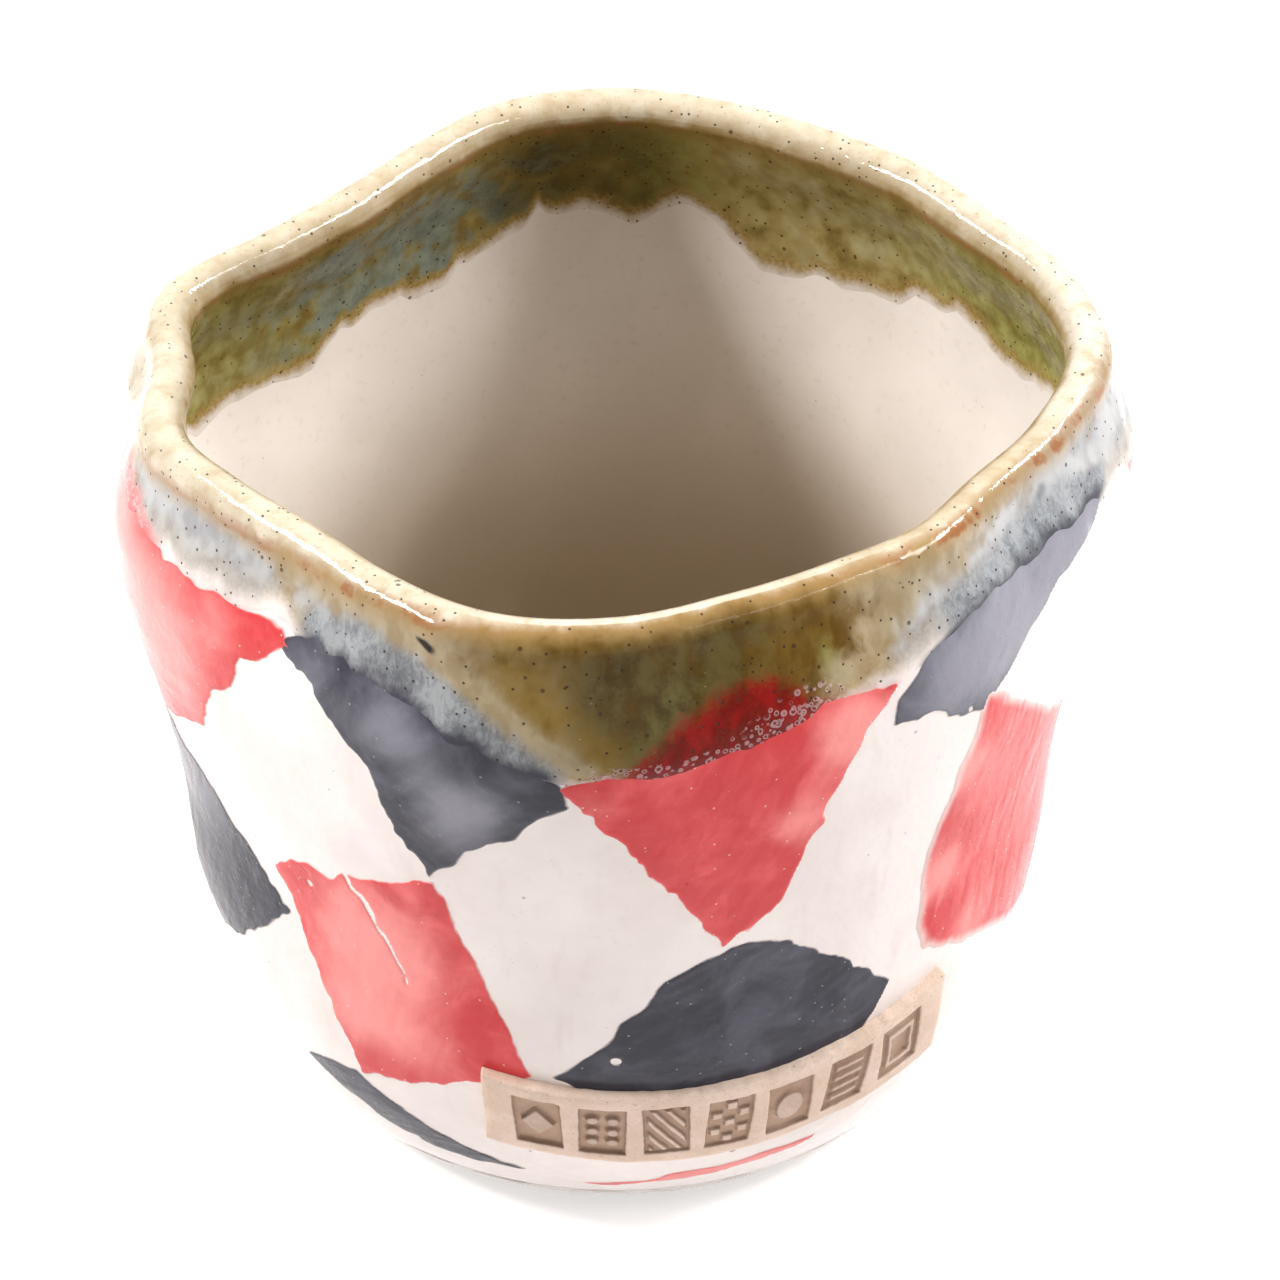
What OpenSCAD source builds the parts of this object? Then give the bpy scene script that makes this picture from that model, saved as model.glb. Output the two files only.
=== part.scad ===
// Hand-built ceramic cup without a handle.
// A clay wall with a wavy, rounded-square mouth stands on a round base slab. Glaze runs over the
// lip, a pale glaze lines the inside, brushed slip patches and a stamped strip lie on the outside.
// Millimetres, +Z up. The origin is the middle of the flat foot, and the front faces -Y.
// Angles go round the cup from +X towards +Y.

/* [Cup] */
// Height of the rim above the table, before its waves
cup_h = 87; // [80:1:100]
// Mean outside diameter at the rim
rim_d = 92; // [86:1:98]
// How far the shoulder, the widest place, stands out beyond the rim
shoulder_out = 4; // [1:0.5:7]
// Height from the shoulder up to the rim
shoulder_drop = 14; // [10:1:20]
// How far the belly stands out beyond the rim
belly_out = 0.5; // [-3:0.5:3]
// Height at which the round bottom runs into the belly
belly_h = 36; // [28:1:46]
// Diameter of the flat foot
foot_d = 66; // [58:1:74]
// Most that the rim climbs or dips
rim_wave = 2.5; // [0:0.5:4]

/* [Clay] */
// Thickness of the wall at the lip
wall_t = 4.4; // [3.4:0.1:6]
// Thickness of the base slab
base_t = 5; // [4:0.5:7]
// Width of the clay pressed into the corner between wall and base slab
fillet_w = 10; // [6:1:13]

/* [Glaze] */
// Thickness of the runny glaze on the lip
rim_glaze_t = 0.5; // [0.3:0.1:0.8]
// Length of the longest drip below the lip, outside
drip_out = 12; // [8:1:14]
// Length of the longest drip below the lip, inside
drip_in = 20; // [14:1:24]
// Thickness of the pale glaze that lines the cup
liner_t = 0.4; // [0.3:0.1:0.8]

/* [Slip] */
// Thickness of a brushed slip patch
slip_t = 0.3; // [0.2:0.1:0.5]

/* [Label strip] */
// Length of the strip along the belly
label_w = 50; // [42:1:58]
// Width of the strip
label_h = 11.8; // [9.8:0.2:14]
// Thickness of the strip
label_t = 1.2; // [0.9:0.1:2]
// Height of the strip's middle line above the table, at its lowest
label_z = 20.7; // [18:0.1:25]
// Rise of the strip half its length away from its lowest place
label_rise = 3.2; // [0:0.2:5]
// Bare length of the strip at each end
label_margin = 2.6; // [1:0.2:4]
// Width of a stamped square
stamp_w = 4.8; // [3.5:0.1:5.2]
// Height of a stamped square
stamp_h = 8; // [6:0.2:8.4]
// Depth of a stamped square
stamp_depth = 0.6; // [0.3:0.1:0.8]
// Width of the sloping side of a stamped square
stamp_slope = 0.4; // [0.2:0.1:0.6]
// Number of stamped squares
stamps = 7; // [3:1:7]

/* [Fit] */
// Clearance between a coat and what it covers
seat = 0.18; // [0.15:0.01:0.3]
// Clearance between the ends of two neighbouring coats
coat_gap = 0.3; // [0.2:0.05:0.5]

/* [Hidden] */
// Angle of the label strip's lowest place
lowest_angle = 280;
// Angle of the label strip's middle
middle_angle = 284.5;

// How far the rim stands out, as a share of its mean radius, every 15 degrees from +X
rim_shares = [
    1.08, 1.05, 1.00, 1.00, 0.99, 1.01,
    1.03, 1.01, 0.94, 0.90, 0.94, 1.06,
    1.02, 1.05, 1.00, 0.97, 1.01, 1.06,
    1.04, 0.98, 0.95, 0.96, 0.95, 1.01
];
// How far the rim climbs, as a share of its wave, at the same angles
lift_shares = [
    -0.2, 0, 0, 0, 0, 0,
    0, 0, -0.2, -0.4, -0.6, -1,
    -1, -0.8, -0.4, -0.2, 0, 0.2,
    0.2, 0, -0.2, -0.4, -0.6, -0.6
];
// Length of the outside drips as a share of the longest, at the same angles
drip_out_shares = [
    0.70, 0.72, 0.84, 0.66, 0.92, 0.70,
    0.84, 0.96, 0.70, 0.56, 0.78, 0.62,
    0.70, 0.70, 0.62, 0.36, 0.30, 0.64,
    0.98, 0.80, 0.72, 0.62, 0.48, 0.60
];
// Length of the inside drips as a share of the longest, at the same angles
drip_in_shares = [
    0.70, 0.74, 0.78, 0.80, 0.88, 0.80,
    0.76, 0.80, 0.92, 0.92, 1.00, 0.96,
    0.90, 0.82, 0.90, 0.78, 0.86, 0.72,
    0.82, 0.90, 0.78, 0.86, 0.74, 0.80
];

// Slip patches. Each has its name, whether its top runs under the rim glaze, and its lower left,
// lower right, upper right and upper left corner as degrees and a share of the wall's height.
red_patch_shares = [
    ["red_patch_front", true, [282, 0.525], [285, 0.525], [303, 0.87], [264, 0.85]],
    ["red_patch_upper_left", true, [188, 0.64], [200, 0.585], [229, 0.91], [184, 0.90]],
    ["red_patch_lower_left", false, [232, 0.22], [259, 0.30], [249, 0.625], [222, 0.49]],
    ["red_patch_right", false, [311.5, 0.39], [345, 0.20], [350, 0.55], [320, 0.77]],
    ["red_patch_foot", false, [266, 0.01], [300, 0.01], [300, 0.075], [264, 0.045]],
    ["red_patch_upper_side", true, [2, 0.64], [26, 0.60], [24, 0.90], [-7, 0.90]],
    ["red_patch_upper_back", true, [78, 0.60], [102, 0.66], [108, 0.90], [72, 0.90]],
    ["red_patch_middle_side", false, [28, 0.26], [54, 0.30], [58, 0.60], [29, 0.56]],
    ["red_patch_middle_back", false, [100, 0.25], [130, 0.28], [134, 0.58], [103, 0.61]],
    ["red_patch_low_right", false, [350, 0.02], [374, 0.03], [372, 0.21], [346, 0.16]],
    ["red_patch_low_back", false, [64, 0.03], [92, 0.02], [88, 0.20], [61, 0.22]],
    ["red_patch_low_left", false, [136, 0.02], [170, 0.03], [164, 0.24], [139, 0.20]]
];
black_patch_shares = [
    ["black_patch_front_left", true, [247, 0.65], [264, 0.80], [263, 0.87], [229, 0.93]],
    ["black_patch_left", false, [196, 0.33], [212, 0.275], [223, 0.42], [197, 0.57]],
    ["black_patch_foot_left", false, [238, 0.02], [257, 0.055], [233, 0.185], [223, 0.13]],
    ["black_patch_upper_right", true, [304, 0.83], [318, 0.775], [347, 0.90], [305, 0.88]],
    ["black_patch_low_front", false, [286, 0.11], [307, 0.35], [286, 0.51], [262, 0.30]],
    ["black_patch_upper_side", true, [38, 0.66], [60, 0.64], [66, 0.90], [32, 0.90]],
    ["black_patch_upper_back", true, [118, 0.64], [144, 0.62], [150, 0.90], [114, 0.90]],
    ["black_patch_middle_side", false, [-4, 0.26], [20, 0.28], [23, 0.54], [-6, 0.54]],
    ["black_patch_middle_back", false, [64, 0.29], [92, 0.25], [96, 0.57], [66, 0.59]],
    ["black_patch_middle_left", false, [140, 0.29], [166, 0.32], [170, 0.60], [142, 0.57]],
    ["black_patch_low_side", false, [22, 0.03], [54, 0.03], [50, 0.22], [24, 0.19]],
    ["black_patch_low_back", false, [98, 0.03], [126, 0.02], [128, 0.20], [102, 0.19]]
];
patch_shares = concat(red_patch_shares, black_patch_shares);

CLAY_NODES = ["base_slab", "wall", "label_strip", "rim_glaze", "liner_glaze"];

clay_color = [0.86, 0.82, 0.76];
label_color = [0.66, 0.56, 0.46];
rim_glaze_color = [0.50, 0.44, 0.22];
liner_color = [0.93, 0.88, 0.82];
red_color = [0.90, 0.38, 0.38];
black_color = [0.30, 0.31, 0.34];

// How sharply the bottom rounds, and how fast the rim's shape and waves fade down the wall
bottom_power = 2;
shape_power = 1.9;
wave_power = 3;
fillet_power = 8;
// How far the rows of facets draw together towards both ends of the wall
row_end_share = 0.55;
// The glaze's thickness at the end of a drip, as a share of its full thickness
drip_end_share = 0.4;

// Numbers of facets
around = 64;
outer_rows = 25;
inner_rows = 20;
lip_rows = 6;
glaze_rows = 6;
liner_rows = 9;
floor_rows = 2;
// Widest cell of a patch round the cup, in degrees, and its tallest, as a share of the wall
cell_angle = 4.5;
cell_share = 0.045;
base_rows = 6;

// Mean radii of the outside
foot_r = foot_d / 2;
rim_r = rim_d / 2;
belly_r = rim_r + belly_out;
shoulder_r = rim_r + shoulder_out;
lip_r = wall_t / 2;
shoulder_h = cup_h - shoulder_drop;
// The wall's straight part runs from the base slab to the middle of the round lip
wall_h = cup_h - lip_r - base_t;
label_seat = seat + slip_t + seat;

// A value from a closed list of evenly spaced values, joined by a smooth curve
function item(list, i) = list[(i % len(list) + len(list)) % len(list)];
function smooth(list, a) =
    let (x = a / 360 * len(list), i = floor(x), f = x - i)
    let (p = item(list, i - 1), q = item(list, i), r = item(list, i + 1), s = item(list, i + 2))
    q + f / 2 * (r - p + f * (2 * p - 5 * q + 4 * r - s + f * (3 * (q - r) + s - p)));

// A soft step from 0 to 1
function ease(x) = (1 - cos(180 * min(max(x, 0), 1))) / 2;
function mix(a, b, t) = a + (b - a) * t;
// Share of the way for row i of n, with rows closer together at both ends
function row(i, n) = mix(i / n, ease(i / n), row_end_share);

// Mean outside radius at a height above the table
function bottom_curve(k) = pow(1 - pow(k, bottom_power), 1 / bottom_power);
function mean_r(z) =
    foot_r
    + (belly_r - foot_r) * bottom_curve(max(1 - z / belly_h, 0))
    + (shoulder_r - belly_r) * ease((z - belly_h) / (shoulder_h - belly_h))
    + (rim_r - shoulder_r) * ease((z - shoulder_h) / (cup_h - shoulder_h));

// Places on the wall, by angle and share of the wall's height
function level(share) = base_t + share * wall_h;
function share_at(z) = (z - base_t) / wall_h;
function outer_r(a, share) =
    mean_r(level(share)) * (1 + (smooth(rim_shares, a) - 1) * pow(share, shape_power));
function place_z(a, share) =
    level(share) + rim_wave * smooth(lift_shares, a) * pow(share, wave_power);
function thickness(share) = wall_t + fillet_w * pow(1 - share, fillet_power);
function inner_r(a, share) = outer_r(a, share) - thickness(share);
function at(a, r, z) = [r * cos(a), r * sin(a), z];

// A point off the outside, off the inside, and off the round lip, by the distance off the clay
function outside(a, share, off) = at(a, outer_r(a, share) + off, place_z(a, share));
function inside(a, share, off) = at(a, inner_r(a, share) - off, place_z(a, share));
function lip(a, turn, off) =
    at(
        a,
        outer_r(a, 1) - lip_r + (lip_r + off) * cos(turn),
        place_z(a, 1) + (lip_r + off) * sin(turn)
    );

// A point of a coat, moved off the clay by as much as the clay's curve can bow through a flat facet
// of that reach. The reach is a share of the wall's height.
function facet_middle(share, reach) = min(max(share, reach / 2), 1 - reach / 2);
function bow_out(a, share, reach) =
    let (s = facet_middle(share, reach))
    max(outer_r(a, s) - (outer_r(a, s - reach / 2) + outer_r(a, s + reach / 2)) / 2, 0);
function bow_in(a, share, reach) =
    let (s = facet_middle(share, reach))
    max((inner_r(a, s - reach / 2) + inner_r(a, s + reach / 2)) / 2 - inner_r(a, s), 0);
function coat_out(a, share, off, reach) = outside(a, share, off + bow_out(a, share, reach));
function coat_in(a, share, off, reach) = inside(a, share, off + bow_in(a, share, reach));

// Ends of the glaze's drips, as shares of the wall's height
function drip_out_at(a) = 1 - drip_out / wall_h * smooth(drip_out_shares, a);
function drip_in_at(a) = 1 - drip_in / wall_h * smooth(drip_in_shares, a);

// Triangles between point i of one row and the next row
function quad(a, b, c, d) = [[a, b, c], [a, c, d]];
function joined(lists) = [for (l = lists) for (item = l) item];

// A tube closed both ways, from a loop of closed sections
module ring_solid(sections) {
    n = len(sections);
    m = len(sections[0]);
    faces = joined([
        for (i = [0:n - 1])
            for (j = [0:m - 1])
                let (k = (i + 1) % n, l = (j + 1) % m)
                quad(i * m + j, i * m + l, k * m + l, k * m + j)
    ]);
    polyhedron(joined(sections), faces);
}

// A skin turned about the axis, from a loop of open sections and the two points that close it
module bowl_solid(sections, low, high) {
    n = len(sections);
    m = len(sections[0]);
    sides = joined([
        for (i = [0:n - 1])
            for (j = [0:m - 2])
                let (k = (i + 1) % n)
                quad(i * m + j, i * m + j + 1, k * m + j + 1, k * m + j)
    ]);
    ends = joined([
        for (i = [0:n - 1])
            let (k = (i + 1) % n)
            [[n * m, i * m, k * m], [n * m + 1, k * m + m - 1, i * m + m - 1]]
    ]);
    polyhedron(concat(joined(sections), [low, high]), concat(sides, ends));
}

// A closed plate between an upper and a lower grid of points of the same size
module plate_solid(upper, lower) {
    n = len(upper);
    m = len(upper[0]);
    base = n * m;
    tops = joined([
        for (i = [0:n - 2])
            for (j = [0:m - 2])
                quad(i * m + j, i * m + j + 1, i * m + m + j + 1, i * m + m + j)
    ]);
    undersides = [for (f = tops) [f[0] + base, f[2] + base, f[1] + base]];
    edge = concat(
        [for (i = [0:n - 2]) i * m],
        [for (j = [0:m - 2]) (n - 1) * m + j],
        [for (i = [n - 1:-1:1]) i * m + m - 1],
        [for (j = [m - 1:-1:1]) j]
    );
    sides = joined([
        for (i = [0:len(edge) - 1])
            let (p = edge[i], q = edge[(i + 1) % len(edge)])
            quad(p, q, q + base, p + base)
    ]);
    polyhedron(concat(joined(upper), joined(lower)), concat(tops, undersides, sides));
}

// The angles of the sections round the cup
section_angles = [for (i = [0:around - 1]) 360 / around * i];

// Round base slab with a true flat foot
module base_slab() {
    side = [for (i = [0:base_rows]) let (z = base_t / base_rows * i) [mean_r(z), z]];
    color(clay_color)
        rotate_extrude($fn = around)
            polygon(concat([[0, 0]], side, [[0, base_t]]));
}

// Clay wall with its round lip, open at the bottom where it stands on the slab
module wall() {
    sections = [
        for (a = section_angles)
            concat(
                [for (i = [0:outer_rows]) outside(a, row(i, outer_rows), 0)],
                [for (i = [1:lip_rows - 1]) lip(a, 180 / lip_rows * i, 0)],
                [for (i = [inner_rows:-1:0]) inside(a, row(i, inner_rows), 0)]
            )
    ];
    color(clay_color)
        ring_solid(sections);
}

// Runny glaze over the lip, thinner at the ends of its drips
glaze_out_reach = drip_out / wall_h / glaze_rows;
glaze_in_reach = drip_in / wall_h / glaze_rows;
function glaze_path(a, off, end_off) = concat(
    [
        for (i = [0:glaze_rows])
            let (t = i / glaze_rows)
            coat_out(a, mix(drip_out_at(a), 1, t), mix(end_off, off, ease(t)), glaze_out_reach)
    ],
    [for (i = [1:lip_rows - 1]) lip(a, 180 / lip_rows * i, off)],
    [
        for (i = [glaze_rows:-1:0])
            let (t = i / glaze_rows)
            coat_in(a, mix(drip_in_at(a), 1, t), mix(end_off, off, ease(t)), glaze_in_reach)
    ]
);
function backwards(list) = [for (i = [len(list) - 1:-1:0]) list[i]];

module rim_glaze() {
    top_off = seat + rim_glaze_t;
    end_off = seat + rim_glaze_t * drip_end_share;
    sections = [
        for (a = section_angles)
            concat(glaze_path(a, top_off, end_off), backwards(glaze_path(a, seat, seat)))
    ];
    color(rim_glaze_color)
        ring_solid(sections);
}

// Pale glaze from the inside drips down over the floor
liner_reach = mix(1, PI / 2, row_end_share) / liner_rows;
function liner_side(a, off) = [
    for (i = [1:liner_rows])
        let (top = drip_in_at(a) - coat_gap / wall_h)
        coat_in(a, top * row(i, liner_rows), off, liner_reach)
];
function liner_floor(a, off) = [
    for (i = [1:floor_rows])
        at(a, (inner_r(a, 0) - off) * i / floor_rows, base_t + off)
];

module liner_glaze() {
    top_off = seat + liner_t;
    sections = [
        for (a = section_angles)
            concat(
                liner_floor(a, seat),
                liner_side(a, seat),
                backwards(liner_side(a, top_off)),
                backwards(liner_floor(a, top_off))
            )
    ];
    color(liner_color)
        bowl_solid(sections, [0, 0, base_t + seat], [0, 0, base_t + top_off]);
}

// One brushed patch between its four corners, cut at the rim glaze where it runs under it
function patch_top(corner, glazed) =
    glazed ? [corner[0], drip_out_at(corner[0]) - coat_gap / wall_h] : corner;
function patch_point(p, u, v, off) =
    let (low = mix(p[2], p[3], u), high = patch_top(mix(p[5], p[4], u), p[1]))
    let (spot = mix(low, high, v))
    coat_out(spot[0], spot[1], off, cell_share);
function extent(p, k) =
    let (values = [for (corner = [2:5]) p[corner][k]])
    max(values) - min(values);
function patch_grid(p, off) =
    let (n = ceil(extent(p, 0) / cell_angle), m = ceil(extent(p, 1) / cell_share))
    [for (i = [0:n]) [for (j = [0:m]) patch_point(p, i / n, j / m, off)]];

module slip_patch(p, tint) {
    color(tint)
        plate_solid(patch_grid(p, seat + slip_t), patch_grid(p, seat));
}

// Applied strip with sunken stamped squares
label_r = mean_r(label_z);
label_pitch = (label_w - 2 * label_margin) / stamps;
function label_angle(x) = middle_angle + (x - label_w / 2) / label_r * 180 / PI;
function label_level(a) =
    let (x = (a - lowest_angle) * PI / 180 * label_r)
    label_z + label_rise * pow(2 * x / label_w, 2);
// Where the first stamp starts, from the strip's left end and from its lower edge
stamp_x0 = label_margin + (label_pitch - stamp_w) / 2;
stamp_y0 = (label_h - stamp_h) / 2;
label_xs = concat(
    [0],
    joined([
        for (i = [0:stamps - 1])
            let (x = i * label_pitch + stamp_x0)
            [x, x + stamp_slope, x + stamp_w - stamp_slope, x + stamp_w]
    ]),
    [label_w]
);
label_ys = [
    0,
    stamp_y0,
    stamp_y0 + stamp_slope,
    label_h - stamp_y0 - stamp_slope,
    label_h - stamp_y0,
    label_h
];
// A grid line is sunk where it lies inside a stamp both along and across the strip
function sunk_x(i) = i % 4 == 2 || (i % 4 == 3 && i < len(label_xs) - 1);
function sunk_y(j) = j == 2 || j == 3;
function label_off(i, j) = label_seat + label_t - (sunk_x(i) && sunk_y(j) ? stamp_depth : 0);
function label_point(x, y, off) =
    let (a = label_angle(x), z = label_level(a) + y - label_h / 2)
    coat_out(a, share_at(z), off, stamp_h / wall_h);

module label_strip() {
    nx = len(label_xs) - 1;
    ny = len(label_ys) - 1;
    upper = [
        for (i = [0:nx])
            [for (j = [0:ny]) label_point(label_xs[i], label_ys[j], label_off(i, j))]
    ];
    lower = [
        for (i = [0:nx])
            [for (j = [0:ny]) label_point(label_xs[i], label_ys[j], label_seat)]
    ];
    color(label_color)
        plate_solid(upper, lower);
}

base_slab();
wall();
label_strip();
rim_glaze();
liner_glaze();
for (p = red_patch_shares) slip_patch(p, red_color);
for (p = black_patch_shares) slip_patch(p, black_color);
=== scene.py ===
import math

import bpy
import numpy as np
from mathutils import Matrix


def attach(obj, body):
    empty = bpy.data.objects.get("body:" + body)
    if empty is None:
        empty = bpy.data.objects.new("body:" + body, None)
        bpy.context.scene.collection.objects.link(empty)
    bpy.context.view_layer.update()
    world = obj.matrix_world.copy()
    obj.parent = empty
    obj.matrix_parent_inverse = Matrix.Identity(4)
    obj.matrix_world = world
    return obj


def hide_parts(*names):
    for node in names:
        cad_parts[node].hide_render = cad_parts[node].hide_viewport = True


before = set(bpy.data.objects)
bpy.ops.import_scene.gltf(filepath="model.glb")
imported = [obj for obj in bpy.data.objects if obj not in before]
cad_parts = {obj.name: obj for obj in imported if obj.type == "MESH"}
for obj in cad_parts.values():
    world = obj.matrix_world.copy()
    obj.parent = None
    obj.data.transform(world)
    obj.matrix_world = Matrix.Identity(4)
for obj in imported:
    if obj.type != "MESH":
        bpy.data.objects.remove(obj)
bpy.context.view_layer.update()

# Sizes in millimetres, angles in degrees from +X towards +Y, as in the CAD source.
CUP_H = 87.0
RIM_R = 46.0
SHOULDER_R = 50.0
SHOULDER_H = 73.0
BELLY_R = 46.5
BELLY_H = 36.0
FOOT_R = 33.0
RIM_WAVE = 2.5
WALL_T = 4.4
BASE_T = 5.0
FILLET_W = 10.0
LIP_R = WALL_T / 2
WALL_H = CUP_H - LIP_R - BASE_T
# How late the wall takes on the mouth's outline, its waves and the clay in the corner below.
SWELL_POWER = 1.9
LIFT_POWER = 3
FILLET_POWER = 8
# Radius at which distances between places on the unrolled wall are measured.
UNROLL_R = 47
# Coats: how far they stand off the clay, and how deep their hidden side lies in it, the
# deeper for the runny glaze and the strip.
GLAZE_OUT_T = 0.34
GLAZE_IN_T = 0.18
GLAZE_LIP_T = 0.26
LINER_T = 0.2
SLIP_T = 0.11
COAT_ROOT = 0.3
DEEP_ROOT = 0.4
# How deep the edge of the slip and of the glaze dips into the clay.
SLIP_DIP = 0.14
GLAZE_DIP = 0.16
# Distance between points on a patch, how far its grid goes beyond the outline, and how far the
# runny glaze's points go on below its end.
PATCH_GRID = 0.27
PATCH_MARGIN = 1.2
GLAZE_MARGIN = 1.0
# The foot: the radius of its flat, the rounding of its edge, how far its side leans out with the
# height, and the height from which that side follows the cup's.
FOOT_FLAT_R = FOOT_R - 0.5
FOOT_SOFT = 0.9
FOOT_LEAN = 1.5
FOOT_BLEND_Z = 2.2

# How far the rim stands out and climbs, every 15 degrees.
RIM_SHARES = [
    1.08, 1.05, 1.00, 1.00, 0.99, 1.01, 1.03, 1.01, 0.94, 0.90, 0.94, 1.06,
    1.02, 1.05, 1.00, 0.97, 1.01, 1.06, 1.04, 0.98, 0.95, 0.96, 0.95, 1.01,
]
LIFT_SHARES = [
    -0.2, 0, 0, 0, 0, 0, 0, 0, -0.2, -0.4, -0.6, -1,
    -1, -0.8, -0.4, -0.2, 0, 0.2, 0.2, 0, -0.2, -0.4, -0.6, -0.6,
]

# Lower edge of the runny glaze, as (angle, share of the wall's height), outside and inside.
DRIP_OUT = [
    (6, 0.87), (18, 0.90), (32, 0.88), (44, 0.92), (58, 0.87), (70, 0.90), (84, 0.88), (98, 0.86),
    (110, 0.885), (124, 0.91), (140, 0.88), (156, 0.895), (170, 0.905), (182, 0.93), (194, 0.925),
    (207, 0.91), (219, 0.912), (226, 0.93), (238, 0.925), (247, 0.91), (256, 0.88), (263, 0.855),
    (268, 0.85), (274, 0.845), (281, 0.85), (287, 0.86), (294, 0.885), (303, 0.88), (314, 0.915),
    (326, 0.92), (340, 0.915), (350, 0.89), (358, 0.87),
]
DRIP_IN = [
    (0, 0.80), (5, 0.82), (11, 0.84), (15, 0.82), (26, 0.80), (36, 0.83), (47, 0.80), (55, 0.79),
    (65, 0.77), (73, 0.78), (77, 0.85), (83, 0.84), (87, 0.79), (92, 0.83), (100, 0.84),
    (106, 0.81), (115, 0.77), (123, 0.77), (134, 0.78), (145, 0.74), (155, 0.77), (164, 0.76),
    (175, 0.79), (184, 0.77), (196, 0.81), (210, 0.78), (224, 0.79), (236, 0.76), (248, 0.80),
    (262, 0.77), (276, 0.79), (290, 0.75), (305, 0.80), (318, 0.77), (332, 0.81), (346, 0.78),
]

# Strength of each glaze tint round the cup, as (angle, weight), inside and outside.
TINTS_IN = {
    "teal": [
        (88, 0.0), (100, 0.3), (115, 0.7), (140, 0.6), (155, 0.2), (190, 0.1), (214, 0.1),
        (240, 0.5), (300, 0),
    ],
    "green": [
        (0, 1.1), (20, 1.1), (36, 0.7), (50, 0.4), (74, 0.25), (84, 0.7), (94, 0.3), (120, 0.4),
        (160, 0.6), (214, 0.7), (250, 0.3), (300, 0.6),
    ],
    # Inside round the back, from 80 to 110 degrees, the dark tint is mostly painted shade, where
    # the back wall lies in the cup's shadow.
    "dark": [
        (70, 0), (80, 0.3), (87, 0.6), (102, 0.8), (110, 0.3), (122, 0), (180, 0.1), (262, 0.5),
        (290, 0.1),
    ],
    "gold": [
        (10, 0.4), (40, 0.6), (76, 0.8), (90, 0.3), (120, 0.2), (165, 0.5), (200, 0.7), (240, 0.3),
        (290, 0.8), (330, 0.4),
    ],
    "tan": [(0, 0.1), (40, 0.3), (72, 0.35), (84, 0.1), (150, 0.3), (240, 0.25), (320, 0.1)],
    "milk": [(36, 0), (50, 0.2), (62, 0.2), (76, 0)],
}
TINTS_OUT = {
    "teal": [(90, 0.2), (190, 0), (350, 0), (40, 0.3)],
    "green": [
        (0, 0.2), (24, 0.7), (60, 0.3), (100, 0.5), (140, 0.2), (180, 0.4), (210, 0), (350, 0.1),
    ],
    "dark": [
        (0, 0), (60, 0.1), (96, 0.5), (120, 0), (262, 0.2), (272, 0.4), (286, 0.3), (300, 0.1),
        (330, 0),
    ],
    "gold": [
        (0, 0.2), (30, 0.5), (80, 0.6), (120, 0.2), (170, 0.7), (200, 0.3), (246, 0.3), (260, 0.35),
        (280, 0.1),
    ],
    "tan": [
        (0, 1.4), (30, 0.8), (70, 0.3), (110, 0.2), (150, 0.9), (190, 1.6), (240, 1.6), (256, 0.2),
        (296, 0.1), (306, 1.0), (330, 1.6),
    ],
    "milk": [
        (0, 0.9), (20, 0.3), (44, 0.6), (70, 0.3), (100, 0.1), (128, 0.7), (150, 0.4), (176, 0.3),
        (198, 0.6), (222, 0.3), (300, 0), (316, 0.3), (344, 0.9),
    ],
}

# Runs and clouds in the glaze outside: tint, half width in mm, weight, line of (angle, share).
GLAZE_RUNS = [
    ("milk", 3.4, 1.1, [(203, 0.96), (212, 0.955), (219, 0.945)]),
    ("tan", 2.0, 1.0, [(222, 0.985), (232, 0.985), (244, 0.985)]),
    ("milk", 1.6, 0.3, [(224, 0.965), (232, 0.97), (240, 0.975)]),
    ("veil", 2.4, 1.1, [
        (233, 0.945), (240, 0.96), (247, 0.95), (253, 0.925), (258, 0.89), (262, 0.86),
    ]),
    ("tan", 1.6, 1.2, [(250, 0.975), (254, 0.955), (258, 0.928), (262, 0.895), (266, 0.865)]),
    ("gold", 2.6, 0.6, [(259, 0.975), (264, 0.93), (269, 0.88)]),
    ("dark", 3.4, 0.6, [(270, 0.955), (277, 0.93), (284, 0.985)]),
    ("green", 2.2, 0.35, [(272, 0.90), (278, 0.955)]),
    ("green", 2.2, 0.4, [(296, 0.95), (298, 0.92)]),
    ("tan", 3.0, 1.5, [(299, 0.905), (304, 0.93), (312, 0.96), (322, 0.975)]),
    ("milk", 2.6, 1.1, [(307, 0.92), (312, 0.935), (318, 0.94), (330, 0.945), (344, 0.945)]),
    ("veil", 2.6, 0.95, [(314, 0.94), (326, 0.95), (340, 0.955)]),
    ("slate", 0.9, 0.8, [(336, 0.985), (332.5, 0.955)]),
    ("slate", 0.7, 0.6, [(328, 0.975), (326, 0.955)]),
]

# How far the pale lip reaches over the edge in mm, outside and inside, and its rusty border.
LIP_OUT = [
    (0, 2.0), (60, 2.4), (150, 2.4), (190, 2.8), (215, 2.8), (238, 2.0), (248, 1.0), (260, 0.3),
    (285, 0.0), (300, 0.2), (315, 0.7), (340, 1.3),
]
LIP_IN = [
    (0, 2.6), (30, 3.4), (60, 3.6), (88, 3.0), (110, 3.6), (150, 3.8), (170, 3.2), (200, 2.6),
    (285, 2.2), (310, 1.7), (345, 2.0),
]
RUST = [
    (0, 0.5), (60, 0.2), (150, 0.15), (200, 0.15), (214, 0.5), (232, 0.9), (246, 1.0), (252, 0.3),
    (262, 0.15), (300, 0.3), (318, 1.0), (345, 1.0),
]
# How pale the lip is round the cup.
PALE_LIP = [
    (0, 0.9), (30, 0.6), (60, 0.45), (90, 0.45), (110, 0.4), (150, 0.35), (165, 0.3), (180, 0.5),
    (200, 0.4), (235, 0.4), (252, 0.6), (275, 0.9), (290, 0.5), (312, 0.1), (335, 0.1), (350, 0.7),
]
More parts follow.
